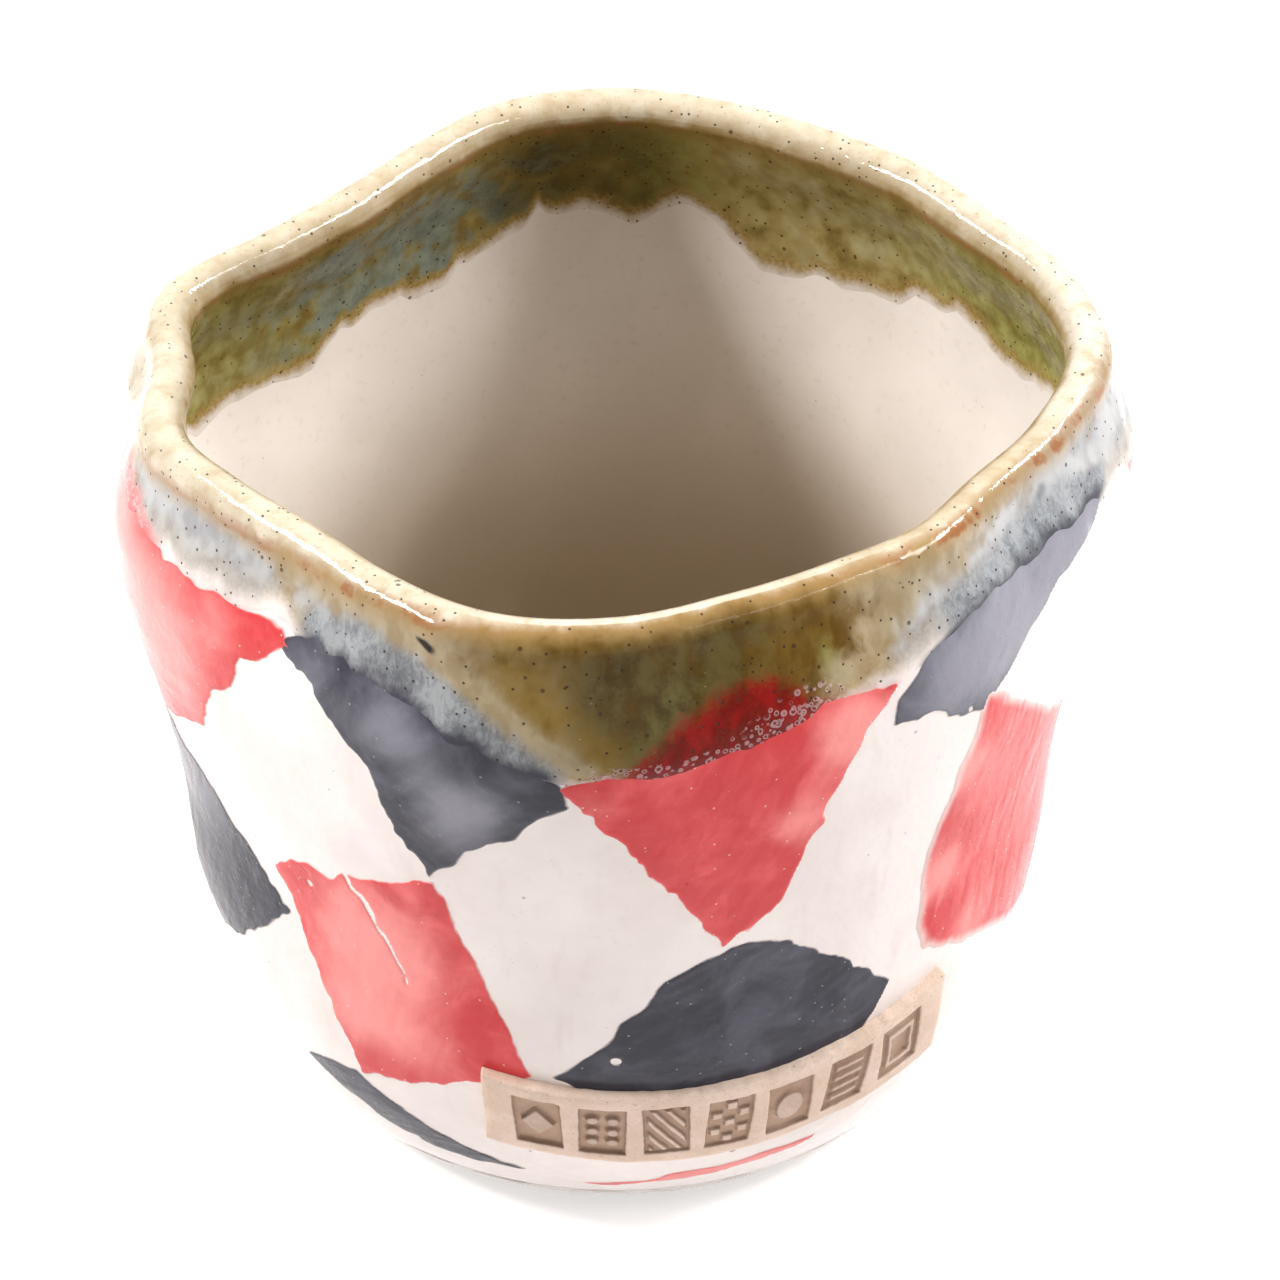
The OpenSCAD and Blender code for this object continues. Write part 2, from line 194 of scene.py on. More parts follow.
# Width of the soft lower border in mm, outside and inside.
BORDER = [
    (20, 1.5), (60, 1.2), (150, 1.2), (190, 1.8), (218, 2.2), (232, 1.8), (244, 2.2), (260, 1.8),
    (265, 1.0), (294, 1.0), (303, 2.0), (330, 2.4), (350, 2.0),
]
BORDER_IN = 1.3
# How far the glaze turns milky over red slip.
MILKY = [
    (20, 0.7), (60, 0.3), (120, 0.3), (180, 0.9), (230, 1.0), (252, 0.5), (262, 0), (306, 0),
    (330, 1.0),
]

# Brushed patches: name, direction of the brush in degrees from level, and the outline.
RED_PATCHES = {
    "red_patch_front": (62, [
        (264.3, 0.84), (268, 0.775), (273, 0.70), (278, 0.605), (283, 0.52), (286, 0.535),
        (290, 0.58), (294, 0.70), (299, 0.82), (304, 0.885), (298, 0.895), (295, 0.912),
        (292, 0.94), (288, 0.955), (284, 0.957), (280, 0.945), (276, 0.925), (272, 0.89),
        (268, 0.86),
    ]),
    "red_patch_upper_left": (20, [
        (192, 0.99), (199, 0.97), (204, 0.94), (207, 0.91), (215, 0.915), (221, 0.917),
        (228, 0.925), (230.5, 0.905), (222, 0.85), (220, 0.79), (216, 0.76), (212, 0.66),
        (204, 0.61), (197, 0.58), (189, 0.62), (185, 0.75), (184, 0.92), (187, 0.99),
    ]),
    "red_patch_lower_left": (75, [
        (222, 0.49), (226, 0.53), (233, 0.55), (239, 0.585), (244, 0.61), (249, 0.63), (251, 0.56),
        (253, 0.49), (256, 0.39), (260, 0.29), (253, 0.26), (248, 0.235), (241, 0.205), (234, 0.18),
        (232, 0.25), (229, 0.33), (226, 0.42),
    ]),
    "red_patch_right": (80, [
        (318, 0.80), (322, 0.77), (327, 0.72), (332, 0.68), (338, 0.62), (342, 0.59), (348, 0.56),
        (351, 0.42), (344, 0.22), (337, 0.25), (333, 0.26), (327, 0.30), (321, 0.33), (316, 0.35),
        (312, 0.375), (311, 0.42), (311, 0.51), (312, 0.60), (314, 0.68), (316, 0.73),
    ]),
    "red_patch_foot": (5, [
        (264, 0.034), (272, 0.05), (282, 0.066), (292, 0.076), (300, 0.077), (299, 0.06),
        (290, 0.052), (280, 0.042), (270, 0.028),
    ]),
    "red_patch_upper_side": (70, [
        (2, 0.64), (14, 0.61), (26, 0.60), (27, 0.76), (24, 0.90), (8, 0.885), (-7, 0.90),
        (-3, 0.78),
    ]),
    "red_patch_upper_back": (82, [
        (78, 0.60), (90, 0.615), (102, 0.66), (107, 0.80), (108, 0.95), (90, 0.97), (72, 0.95),
        (76, 0.77),
    ]),
    "red_patch_middle_side": (15, [
        (28, 0.26), (42, 0.27), (54, 0.30), (57, 0.45), (58, 0.60), (43, 0.59), (29, 0.56),
        (30, 0.41),
    ]),
    "red_patch_middle_back": (100, [
        (100, 0.25), (115, 0.27), (130, 0.28), (133, 0.43), (134, 0.58), (119, 0.61), (103, 0.61),
        (100, 0.43),
    ]),
    "red_patch_low_right": (80, [
        (350, 0.02), (362, 0.02), (374, 0.03), (375, 0.13), (372, 0.21), (359, 0.19), (346, 0.16),
        (349, 0.09),
    ]),
    "red_patch_low_back": (10, [
        (64, 0.03), (78, 0.02), (92, 0.02), (91, 0.11), (88, 0.20), (75, 0.215), (61, 0.22),
        (63, 0.12),
    ]),
    "red_patch_low_left": (100, [
        (136, 0.02), (153, 0.02), (170, 0.03), (168, 0.14), (164, 0.24), (151, 0.23), (139, 0.20),
        (138, 0.11),
    ]),
}
BLACK_PATCHES = {
    "black_patch_front_left": (48, [
        (228, 0.91), (233, 0.94), (241, 0.965), (250, 0.965), (256, 0.91), (260, 0.88),
        (264, 0.845), (265, 0.81), (262, 0.785), (259, 0.75), (256, 0.73), (252, 0.675),
        (248.5, 0.635), (245, 0.70), (243, 0.76), (241, 0.81), (234, 0.88),
    ]),
    "black_patch_left": (70, [
        (197, 0.585), (201, 0.56), (210, 0.53), (217, 0.48), (224, 0.42), (218, 0.34), (213, 0.29),
        (206, 0.25), (198, 0.31), (194, 0.44),
    ]),
    "black_patch_foot_left": (15, [
        (223, 0.135), (227, 0.16), (233, 0.182), (238, 0.153), (243, 0.122), (248, 0.097),
        (257, 0.06), (250, 0.05), (242, 0.058), (236, 0.075), (229, 0.112),
    ]),
    "black_patch_upper_right": (35, [
        (349, 0.95), (348, 0.91), (340, 0.885), (332, 0.855), (326, 0.825), (321, 0.795),
        (318, 0.77), (313, 0.785), (309, 0.815), (303.5, 0.825), (304, 0.86), (308, 0.905),
        (316, 0.955), (332, 0.975),
    ]),
    "black_patch_low_front": (28, [
        (262, 0.295), (265, 0.325), (269, 0.365), (272, 0.41), (276, 0.47), (281, 0.505),
        (284, 0.52), (289, 0.515), (293, 0.49), (298, 0.45), (303, 0.40), (307, 0.355),
        (306, 0.325), (300, 0.24), (293, 0.15), (286, 0.10), (281, 0.14), (272, 0.22),
    ]),
    "black_patch_upper_side": (95, [
        (38, 0.66), (49, 0.64), (60, 0.64), (64, 0.79), (66, 0.95), (49, 0.96), (32, 0.95),
        (36, 0.80),
    ]),
    "black_patch_upper_back": (75, [
        (118, 0.64), (131, 0.62), (144, 0.62), (148, 0.78), (150, 0.95), (132, 0.96), (114, 0.95),
        (117, 0.79),
    ]),
    "black_patch_middle_side": (80, [
        (-4, 0.26), (8, 0.275), (20, 0.28), (22, 0.41), (23, 0.54), (9, 0.535), (-6, 0.54),
        (-4, 0.40),
    ]),
    "black_patch_middle_back": (20, [
        (64, 0.29), (78, 0.26), (92, 0.25), (94, 0.41), (96, 0.57), (81, 0.585), (66, 0.59),
        (66, 0.44),
    ]),
    "black_patch_middle_left": (85, [
        (140, 0.29), (153, 0.30), (166, 0.32), (169, 0.46), (170, 0.60), (156, 0.58), (142, 0.57),
        (140, 0.43),
    ]),
    "black_patch_low_side": (5, [
        (22, 0.03), (38, 0.02), (54, 0.03), (53, 0.12), (50, 0.22), (37, 0.21), (24, 0.19),
        (24, 0.11),
    ]),
    "black_patch_low_back": (85, [
        (98, 0.03), (112, 0.02), (126, 0.02), (128, 0.11), (128, 0.20), (115, 0.20), (102, 0.19),
        (99, 0.11),
    ]),
}

# Pale clouds in the slip: painted sheen where the lamps reflect in the glaze over the black,
# painted light on the lit sides of the red, and some real paler brushing: angle, share,
# radius in mm and weight.
SHEEN_AND_PALE_CLOUDS = {
    "black_patch_front_left": [
        (233, 0.89, 4.5, 0.5), (239, 0.83, 4.5, 0.3), (254, 0.79, 4.4, 1.2), (251, 0.72, 3.5, 0.5),
        (246, 0.88, 5.0, 1.0),
    ],
    "black_patch_upper_right": [
        (311, 0.86, 6.0, 1.0), (322, 0.87, 7.0, 1.4), (338, 0.91, 8.0, 1.4),
    ],
    "black_patch_left": [(203, 0.50, 6.0, 0.8)],
    "red_patch_lower_left": [(239, 0.45, 9.0, 1.3), (235, 0.30, 6.0, 1.0), (246, 0.30, 5.0, 0.5)],
    "red_patch_upper_left": [(203, 0.78, 10.0, 1.5), (192, 0.88, 8.0, 1.2), (218, 0.88, 4.0, 0.6)],
    "red_patch_right": [
        (314, 0.50, 4.5, 1.0), (316, 0.68, 5.0, 0.9), (345, 0.62, 6.0, 0.7), (322, 0.36, 5.0, 0.8),
    ],
    "red_patch_front": [(298, 0.84, 4.5, 1.5), (292, 0.72, 4.0, 0.9), (267, 0.81, 3.5, 0.5)],
    "red_patch_foot": [(282, 0.05, 20.0, 1.0)],
}
# Patches whose edge fades out over more than a fine line, in mm.
SOFT_EDGES = {"red_patch_right": 1.8, "red_patch_upper_side": 1.2, "black_patch_middle_left": 1.0}

# How far the brush's hairs comb the edge out, and how long their marks are drawn.
COMB = 0.34
SOFT_COMB = 0.14
BRUSH_STRETCH = 0.4

# Burst bubbles in the glaze, along its border on the front red patch.
BUBBLE_LINE = [
    (268, 0.856), (272, 0.853), (277, 0.855), (283, 0.862), (288, 0.875), (292, 0.89), (296, 0.90),
]
BUBBLE_CLUSTER = [(284, 0.875), (288, 0.893), (291, 0.905), (294, 0.905)]
# A dark spot under the lip: a small pit, its shade painted in as dark colour.
SHADED_PIT = [(248.1, 1.0), (249.4, 0.992)]

# Places without slip: the line of a fine crack with its half width in mm, and small bare dots
# with their radius in mm.
CRACKS = {
    "red_patch_lower_left": (0.3, [
        (235.2, 0.59), (236.4, 0.555), (238.2, 0.53), (239, 0.505), (241, 0.48), (242, 0.45),
        (244, 0.405),
    ]),
}
DOTS = {
    "black_patch_low_front": [(270, 0.33, 0.5)],
    "red_patch_lower_left": [(229, 0.505, 0.35)],
    "black_patch_upper_right": [(315, 0.79, 0.25)],
}


def table_noise(u, v, columns, seed):
    """Smooth random values from -1 to 1, the same on every run, repeating after the columns."""
    rows = 97
    table = np.random.default_rng(seed).uniform(-1, 1, (columns, rows))
    i = np.floor(u).astype(int)
    j = np.floor(v).astype(int)
    f = (u - i) ** 2 * (3 - 2 * (u - i))
    g = (v - j) ** 2 * (3 - 2 * (v - j))
    k = (i + 1) % columns
    i = i % columns
    low = table[i, j % rows] * (1 - f) + table[k, j % rows] * f
    high = table[i, (j + 1) % rows] * (1 - f) + table[k, (j + 1) % rows] * f
    return low * (1 - g) + high * g


def noise(x, y, cell, seed):
    """The same over places in mm, with cells of that size."""
    return table_noise(np.asarray(x) / cell, np.asarray(y) / cell, 97, seed)


def ring_noise(angle, cells, y, seed):
    """The same closed round the cup, with a whole number of cells round it."""
    return table_noise(np.asarray(angle) / 360 * cells, np.asarray(y, float), cells, seed)


def step(x, low, high):
    """0 below low, 1 above high, smooth between them."""
    t = np.clip((np.asarray(x, float) - low) / (high - low), 0, 1)
    return t * t * (3 - 2 * t)


def round_value(marks, angle):
    """The value at an angle between marks of (angle, value) round the cup."""
    places = [m[0] % 360 for m in marks]
    order = np.argsort(places)
    values = np.array([m[1] for m in marks], float)[order]
    return np.interp(np.asarray(angle) % 360, np.array(places, float)[order], values, period=360)


def soft_value(marks, angle):
    """The same with rounded corners."""
    return sum(round_value(marks, angle + turn) for turn in (-2, -1, 0, 1, 2)) / 5


# The cup's shape, by angle and share of the wall's height.
def smooth(values, angle):
    """A round curve through values that are evenly spaced round the cup."""
    values = np.asarray(values, float)
    n = len(values)
    x = np.asarray(angle, float) / 360 * n
    i = np.floor(x).astype(int)
    f = x - i
    p, q, r, s = [values[(i + k) % n] for k in (-1, 0, 1, 2)]
    return q + f / 2 * (r - p + f * (2 * p - 5 * q + 4 * r - s + f * (3 * (q - r) + s - p)))


def ease(x):
    """0 to 1 along half a wave."""
    return (1 - np.cos(np.pi * np.clip(x, 0, 1))) / 2


def mean_r(z):
    """The cup's mean outer radius at a height."""
    z = np.asarray(z, float)
    low = (BELLY_R - FOOT_R) * np.sqrt(1 - np.maximum(1 - z / BELLY_H, 0) ** 2)
    middle = (SHOULDER_R - BELLY_R) * ease((z - BELLY_H) / (SHOULDER_H - BELLY_H))
    high = (RIM_R - SHOULDER_R) * ease((z - SHOULDER_H) / (CUP_H - SHOULDER_H))
    return FOOT_R + low + middle + high


def share_at(z):
    return (z - BASE_T) / WALL_H


def unrolled(angle, share, radius=UNROLL_R):
    """A place on the unrolled wall, in mm."""
    x = np.asarray(angle, float) * math.radians(radius)
    return x, np.asarray(share, float) * WALL_H


def stretch_distance(x, y, x0, y0, x1, y1):
    """Distance from the straight stretch between two points."""
    along = (x1 - x0) ** 2 + (y1 - y0) ** 2
    t = np.clip(((x - x0) * (x1 - x0) + (y - y0) * (y1 - y0)) / along, 0, 1)
    return np.hypot(x - x0 - t * (x1 - x0), y - y0 - t * (y1 - y0))


def turned_axes(x, y, degrees):
    """The same places on axes that are turned by so many degrees."""
    turn = math.radians(degrees)
    return x * math.cos(turn) + y * math.sin(turn), y * math.cos(turn) - x * math.sin(turn)


def line_distance(angle, share, line):
    """Distance in mm from a line of (angle, share) points."""
    x, y = unrolled(angle, share)
    points = [unrolled(a, s) for a, s in line]
    best = np.full(np.broadcast(angle, share).shape, 1e9)
    for (x0, y0), (x1, y1) in zip(points[:-1], points[1:]):
        best = np.minimum(best, stretch_distance(x, y, x0, y0, x1, y1))
    return best


# Two creases where the front of the mouth was pinched forward.
CREASES = [
    [(247, 1.02), (250, 0.995), (254, 0.975), (258, 0.95), (262, 0.92), (266, 0.885)],
    [(340, 0.90), (332, 0.935), (324, 0.945), (315, 0.935), (309, 0.92), (304, 0.895)],
]
CREASE_H = 0.34
CREASE_W = 1.5


def creases(angle, share):
    angle = np.asarray(angle, float) % 360
    total = 0
    for line in CREASES:
        total = total + CREASE_H * np.exp(-(line_distance(angle, share, line) / CREASE_W) ** 2)
    return total


def dents(angle, share):
    """Unevenness left by the potter's fingers, in mm, ending at the slab."""
    wide = 0.16 * ring_noise(angle, 17, np.asarray(share) * 7, 11)
    fine = 0.05 * ring_noise(angle, 46, np.asarray(share) * 17, 12)
    return (wide + fine) * step(share, 0, 0.12)


def outer_r(angle, share):
    share = np.asarray(share, float)
    swell = 1 + (smooth(RIM_SHARES, angle) - 1) * np.maximum(share, 0) ** SWELL_POWER
    return mean_r(BASE_T + share * WALL_H) * swell + dents(angle, share)


def place_z(angle, share):
    share = np.asarray(share, float)
    lift = RIM_WAVE * smooth(LIFT_SHARES, angle) * np.maximum(share, 0) ** LIFT_POWER
    return BASE_T + share * WALL_H + lift


def inner_r(angle, share):
    fillet = FILLET_W * (1 - np.asarray(share, float)) ** FILLET_POWER
    return outer_r(angle, share) - WALL_T - fillet


def at(angle, radius, z):
    """Points at an angle, a distance from the cup's axis and a height."""
    turn = np.radians(angle)
    radius, z = np.broadcast_arrays(radius, z)
    return np.stack([radius * np.cos(turn), radius * np.sin(turn), z], -1)


def outside(angle, share, off):
    """Points that far off the wall's outer side."""
    return at(angle, outer_r(angle, share) + creases(angle, share) + off, place_z(angle, share))


def inside(angle, share, off):
    """Points that far off its inner side."""
    return at(angle, inner_r(angle, share) - off, place_z(angle, share))


def lip(angle, turn, off):
    """Points on the round lip, as the turn goes from 0 outside over the top to 180 inside."""
    turn = np.radians(turn)
    ridge = creases(angle, 1.0) * np.maximum(np.cos(turn), 0)
    reach = LIP_R + off
    radius = outer_r(angle, 1.0) - LIP_R + reach * np.cos(turn) + ridge
    return at(angle, radius, place_z(angle, 1.0) + reach * np.sin(turn))


# Meshes.
def grid_quads(n, m, closed_n=False, closed_m=False):
    """Faces on n rows of m points, facing outward if the rows go round the cup and upward."""
    i = np.arange(n if closed_n else n - 1)[:, None]
    j = np.arange(m if closed_m else m - 1)[None, :]
    next_i = (i + 1) % n
    next_j = (j + 1) % m
    corners = [next_i * m + j, next_i * m + next_j, i * m + next_j, i * m + j]
    return np.stack(corners, -1).reshape(-1, 4)


def make_mesh(name, points, faces, values):
    """A smooth mesh from points in mm, face lists of equal length, and named point values."""
    mesh = bpy.data.meshes.new(name)
    mesh.vertices.add(len(points))
    mesh.vertices.foreach_set("co", (np.asarray(points) * 0.001).astype(np.float32).ravel())
    corners = np.concatenate([f.ravel() for f in faces])
    counts = np.concatenate([np.full(len(f), f.shape[1]) for f in faces])
    mesh.loops.add(len(corners))
    mesh.loops.foreach_set("vertex_index", corners.astype(np.int32))
    mesh.polygons.add(len(counts))
    starts = np.concatenate([[0], np.cumsum(counts)[:-1]])
    mesh.polygons.foreach_set("loop_start", starts.astype(np.int32))
    mesh.update(calc_edges=True)
    mesh.shade_smooth()
    for key, value in values.items():
        value = np.asarray(value, np.float32)
        kind = "FLOAT_VECTOR" if value.ndim == 2 else "FLOAT"
        layer = mesh.attributes.new(key, kind, "POINT")
        layer.data.foreach_set("vector" if value.ndim == 2 else "value", value.ravel())
    return mesh


def plate_faces(quads, count):
    """Faces of a closed plate: these on top, the same below, that many points on, and sides."""
    edges = np.concatenate([quads[:, [k, (k + 1) % 4]] for k in range(4)])
    keys = np.sort(edges, 1)
    codes = keys[:, 0].astype(np.int64) * count + keys[:, 1]
    _, first, counts = np.unique(codes, return_index=True, return_counts=True)
    start, end = edges[first[counts == 1]].T
    sides = np.stack([start + count, end + count, end, start], -1)
    return np.concatenate([quads, quads[:, ::-1] + count, sides])


def end_fans(around, m):
    """Faces that close a round shape, whose two middle points follow its rows of m points."""
    ring = np.arange(around)
    after = (ring + 1) % around
    low = np.full(around, around * m)
    first = np.stack([after * m, ring * m, low], -1)
    last = np.stack([ring * m + m - 1, after * m + m - 1, low + 1], -1)
    return np.concatenate([first, last])


def ring_angles(around):
    return np.linspace(0, 360, around, endpoint=False)[:, None]


def show(name, data):
    """A new object in the scene."""
    thing = bpy.data.objects.new(name, data)
    bpy.context.scene.collection.objects.link(thing)
    return thing


def make_piece(mesh, material, node):
    """A piece that takes the place of a CAD node."""
    mesh.materials.append(material)
    piece = show("dressed_" + node, mesh)
    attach(piece, "root")
    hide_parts(node)


# Materials.
def paint(red, green, blue):
    """A colour written as it looks on a screen, from 0 to 255."""
    parts = [c / 255 for c in (red, green, blue)]
    linear = [c / 12.92 if c <= 0.04045 else ((c + 0.055) / 1.055) ** 2.4 for c in parts]
    return (*linear, 1.0)


class Shader:
    """The node tree of a material or world, built up by plain calls."""

    def __init__(self, owner):
        owner.use_nodes = True
        self.owner = owner
        self.tree = owner.node_tree
        self.tree.nodes.clear()

    def add(self, kind, inputs=None, **settings):
        """A new node. Its inputs are links, numbers, lists, or colours from 0 to 255 as tuples."""
        node = self.tree.nodes.new(kind)
        for key, value in settings.items():
            setattr(node, key, value)
        for key, value in (inputs or {}).items():
            if isinstance(value, bpy.types.NodeSocket):
                self.tree.links.new(value, node.inputs[key])
            else:
                value = paint(*value) if isinstance(value, tuple) else value
                node.inputs[key].default_value = value
        return node

    def mm(self, x=1.0, y=1.0, z=1.0):
        """Object coordinates in mm, each axis drawn together by a factor."""
        place = self.add("ShaderNodeTexCoord").outputs["Object"]
        return self.stretched(place, 1000 * x, 1000 * y, 1000 * z)

    def stretched(self, vector, x, y, z):
        node = self.add("ShaderNodeMapping", {"Vector": vector, "Scale": [x, y, z]})
        return node.outputs["Vector"]

    def value(self, name, output="Fac"):
        """A named point value of the mesh."""
        return self.add("ShaderNodeAttribute", attribute_name=name).outputs[output]

    def noise(self, vector, size, detail=2.0, rough=0.5, twist=0.0):
        """Noise about one half, with features of that size."""
        node = self.add("ShaderNodeTexNoise", {
            "Vector": vector,
            "Scale": 1 / size,
            "Detail": detail,
            "Roughness": rough,
            "Distortion": twist,
        })
        return node.outputs["Fac"]

    def cells(self, vector, size):
        """Random cells of that size: the distance from a cell's middle, and its random number."""
        node = self.add("ShaderNodeTexVoronoi", {"Vector": vector, "Scale": 1 / size})
        pick = self.add("ShaderNodeSeparateColor", {"Color": node.outputs["Color"]})
        return node.outputs["Distance"], pick.outputs["Red"]

    def spots(self, vector, spacing, radius, share):
        """1 inside small round spots, in that share of the cells."""
        far, pick = self.cells(vector, spacing)
        near = self.ramp(far, radius / spacing, radius / spacing * 0.7)
        return self.times(near, self.math("LESS_THAN", pick, share))

    def math(self, kind, a, b):
        return self.add("ShaderNodeMath", {0: a, 1: b}, operation=kind).outputs[0]

    def times(self, a, b):
        return self.math("MULTIPLY", a, b)

    def most(self, a, b):
        return self.math("MAXIMUM", a, b)

    def add_up(self, *values):
        total = values[0]
        for v in values[1:]:
            total = self.math("ADD", total, v)
        return total

    def middle(self, value):
        """Noise moved to lie about zero."""
        return self.math("SUBTRACT", value, 0.5)

    def ramp(self, value, low, high, start=0.0, end=1.0):
        """A soft step from start to end as the value goes from low to high."""
        limits = {"From Min": low, "From Max": high, "To Min": start, "To Max": end}
        inputs = {"Value": value, **limits}
        node = self.add("ShaderNodeMapRange", inputs, interpolation_type="SMOOTHSTEP")
        return node.outputs["Result"]

    def mix(self, a, b, factor):
        """From one colour to another."""
        return self.add("ShaderNodeMix", {0: factor, 6: a, 7: b}, data_type="RGBA").outputs[2]

    def over(self, color, tone, mask, weight):
        """A colour with a tone laid over it where the mask is."""
        return self.mix(color, tone, self.times(mask, weight))

    def bump(self, height, depth_mm=1.0):
        inputs = {"Strength": 1.0, "Distance": depth_mm * 0.001, "Height": height}
        return self.add("ShaderNodeBump", inputs).outputs["Normal"]

    def surface(self, color, roughness, normal, level=0.32):
        """The finished material, with that much gloss."""
        node = self.add("ShaderNodeBsdfPrincipled", {
            "Base Color": color,
            "Roughness": roughness,
            "IOR": 1.5,
            "Specular IOR Level": level,
            "Normal": normal,
        })
        self.add("ShaderNodeOutputMaterial", {"Surface": node.outputs["BSDF"]})
        return self.owner

    def seen(self):
        """1 for rays from the camera, also by way of a mirror or glass, for the background."""
        path = self.add("ShaderNodeLightPath")
        seen = self.most(path.outputs["Is Camera Ray"], path.outputs["Is Glossy Ray"])
        return self.most(seen, path.outputs["Is Transmission Ray"])


def new_shader(name):
    return Shader(bpy.data.materials.new(name))


def white_clay_material():
    s = new_shader("white_glazed_clay")
    place = s.mm()
    cloud = s.noise(place, 14, 3)
    grain = s.noise(place, 0.9, 4, 0.65)
    streak = s.noise(s.mm(1, 1, 0.22), 2.4, 3)
    color = s.mix((232, 221, 217), (241, 232, 229), s.ramp(cloud, 0.35, 0.65))
    color = s.over(color, (220, 206, 201), s.ramp(streak, 0.55, 0.8), 0.45)
    color = s.over(color, (214, 200, 194), s.ramp(grain, 0.58, 0.8), 0.4)
    speck = s.spots(place, 3.1, 0.13, 0.4)
    color = s.over(color, (132, 112, 98), speck, 0.7)
    small = s.spots(place, 1.3, 0.08, 0.4)
    color = s.over(color, (158, 142, 132), small, 0.65)
    pit = s.spots(place, 4.7, 0.2, 0.3)
    color = s.over(color, (150, 134, 126), pit, 0.5)
    ripple = s.noise(place, 3.2, 2)
    height = s.add_up(s.times(ripple, 0.14), s.times(grain, 0.018), s.times(pit, -0.09))
    rough = s.ramp(cloud, 0.3, 0.7, 0.16, 0.24)
    return s.surface(color, rough, s.bump(height))


def stoneware_material():
    s = new_shader("stoneware")
    place = s.mm()
    cloud = s.noise(place, 6, 4)
    grain = s.noise(place, 0.4, 4, 0.7)
    color = s.mix((214, 196, 174), (196, 174, 150), s.ramp(cloud, 0.35, 0.65))
    color = s.over(color, (160, 136, 112), s.ramp(grain, 0.55, 0.8), 0.5)
    speck = s.spots(place, 1.6, 0.16, 0.4)
    color = s.over(color, (112, 84, 62), speck, 0.7)
    height = s.add_up(s.times(grain, 0.12), s.times(cloud, 0.2))
    glazed = s.value("glazed")
    ragged = s.add_up(glazed, s.times(s.noise(place, 1.6, 3), 0.6), -0.3)
    cover = s.ramp(ragged, 0.4, 0.6)
    color = s.mix(color, (236, 226, 222), cover)
    rough = s.math("SUBTRACT", 0.75, s.times(cover, 0.55))
    return s.surface(color, rough, s.bump(height, 0.5))


def slip_material(name, deep, thin, streaked, cloud_and_sheen, pale_speck):
    s = new_shader(name)
    place = s.mm()
    brush = s.stretched(s.value("brush", "Vector"), 0.16, 1.0, 1.0)
    lines = s.noise(brush, 0.6, 3, 0.6)
    wash = s.noise(brush, 3.2, 2)
    cloud = s.noise(place, 7, 4, 0.55, 0.6)
    color = s.mix(deep, thin, s.ramp(cloud, 0.42, 0.72))
    color = s.over(color, streaked, s.ramp(lines, 0.5, 0.8), 0.06)
    color = s.over(color, thin, s.ramp(wash, 0.5, 0.76), 0.22)
    # Painted sheen and painted light: the slip turns pale in its clouds, with some real paler
    # brushing.
    veil = s.add_up(s.value("cloud"), s.times(s.middle(wash), 0.5), s.times(s.middle(cloud), 0.8))
    color = s.over(color, cloud_and_sheen, s.ramp(veil, 0.05, 1.3), 0.9)
    edge = s.value("edge")
    color = s.mix(thin, color, s.ramp(edge, 0.05, 0.5, 0.5, 1.0))
    faded = s.add_up(s.math("DIVIDE", edge, s.value("soft")), s.times(s.middle(lines), 0.25))
    color = s.mix((236, 222, 218), color, s.ramp(faded, -0.15, 0.85, 0.05, 1.0))
    pale = s.spots(place, 1.15, 0.15, 0.45)
    color = s.over(color, pale_speck, pale, 0.7)
    pit = s.spots(place, 3.4, 0.19, 0.35)
    hole = s.spots(place, 3.4, 0.09, 0.35)
    color = s.over(color, (40, 30, 32), hole, 0.6)
    ripple = s.noise(place, 2.6, 2)
    peel = s.noise(place, 0.7, 2)
    height = s.add_up(
        s.times(lines, 0.004),
        s.times(ripple, 0.12),
        s.times(peel, 0.04),
        s.times(pit, -0.08),
        s.times(pale, 0.04),
    )
    rough = s.ramp(cloud, 0.3, 0.7, 0.17, 0.27)
    return s.surface(color, rough, s.bump(height), 0.17)


def liner_material():
    s = new_shader("cream_glaze")
    place = s.mm()
    cloud = s.noise(place, 16, 3)
    fine = s.noise(place, 1.1, 3, 0.6)
    color = s.mix((232, 224, 218), (240, 232, 226), s.ramp(cloud, 0.35, 0.65))
    color = s.over(color, (208, 193, 180), s.ramp(fine, 0.55, 0.8), 0.35)
    speck = s.spots(place, 6.5, 0.22, 0.4)
    color = s.over(color, (120, 92, 76), speck, 0.6)
    small = s.spots(place, 2.8, 0.12, 0.3)
    color = s.over(color, (176, 150, 134), small, 0.6)
    # Painted shade: the cream turns brown towards the bottom of the cup, where little lamp light
    # reaches.
    deep = s.ramp(s.value("height"), 64.0, 18.0)
    color = s.over(color, (168, 150, 123), deep, 0.9)
    ripple = s.noise(place, 5, 2)
    height = s.add_up(s.times(ripple, 0.12), s.times(speck, -0.06), s.times(fine, 0.01))
    return s.surface(color, 0.16, s.bump(height))


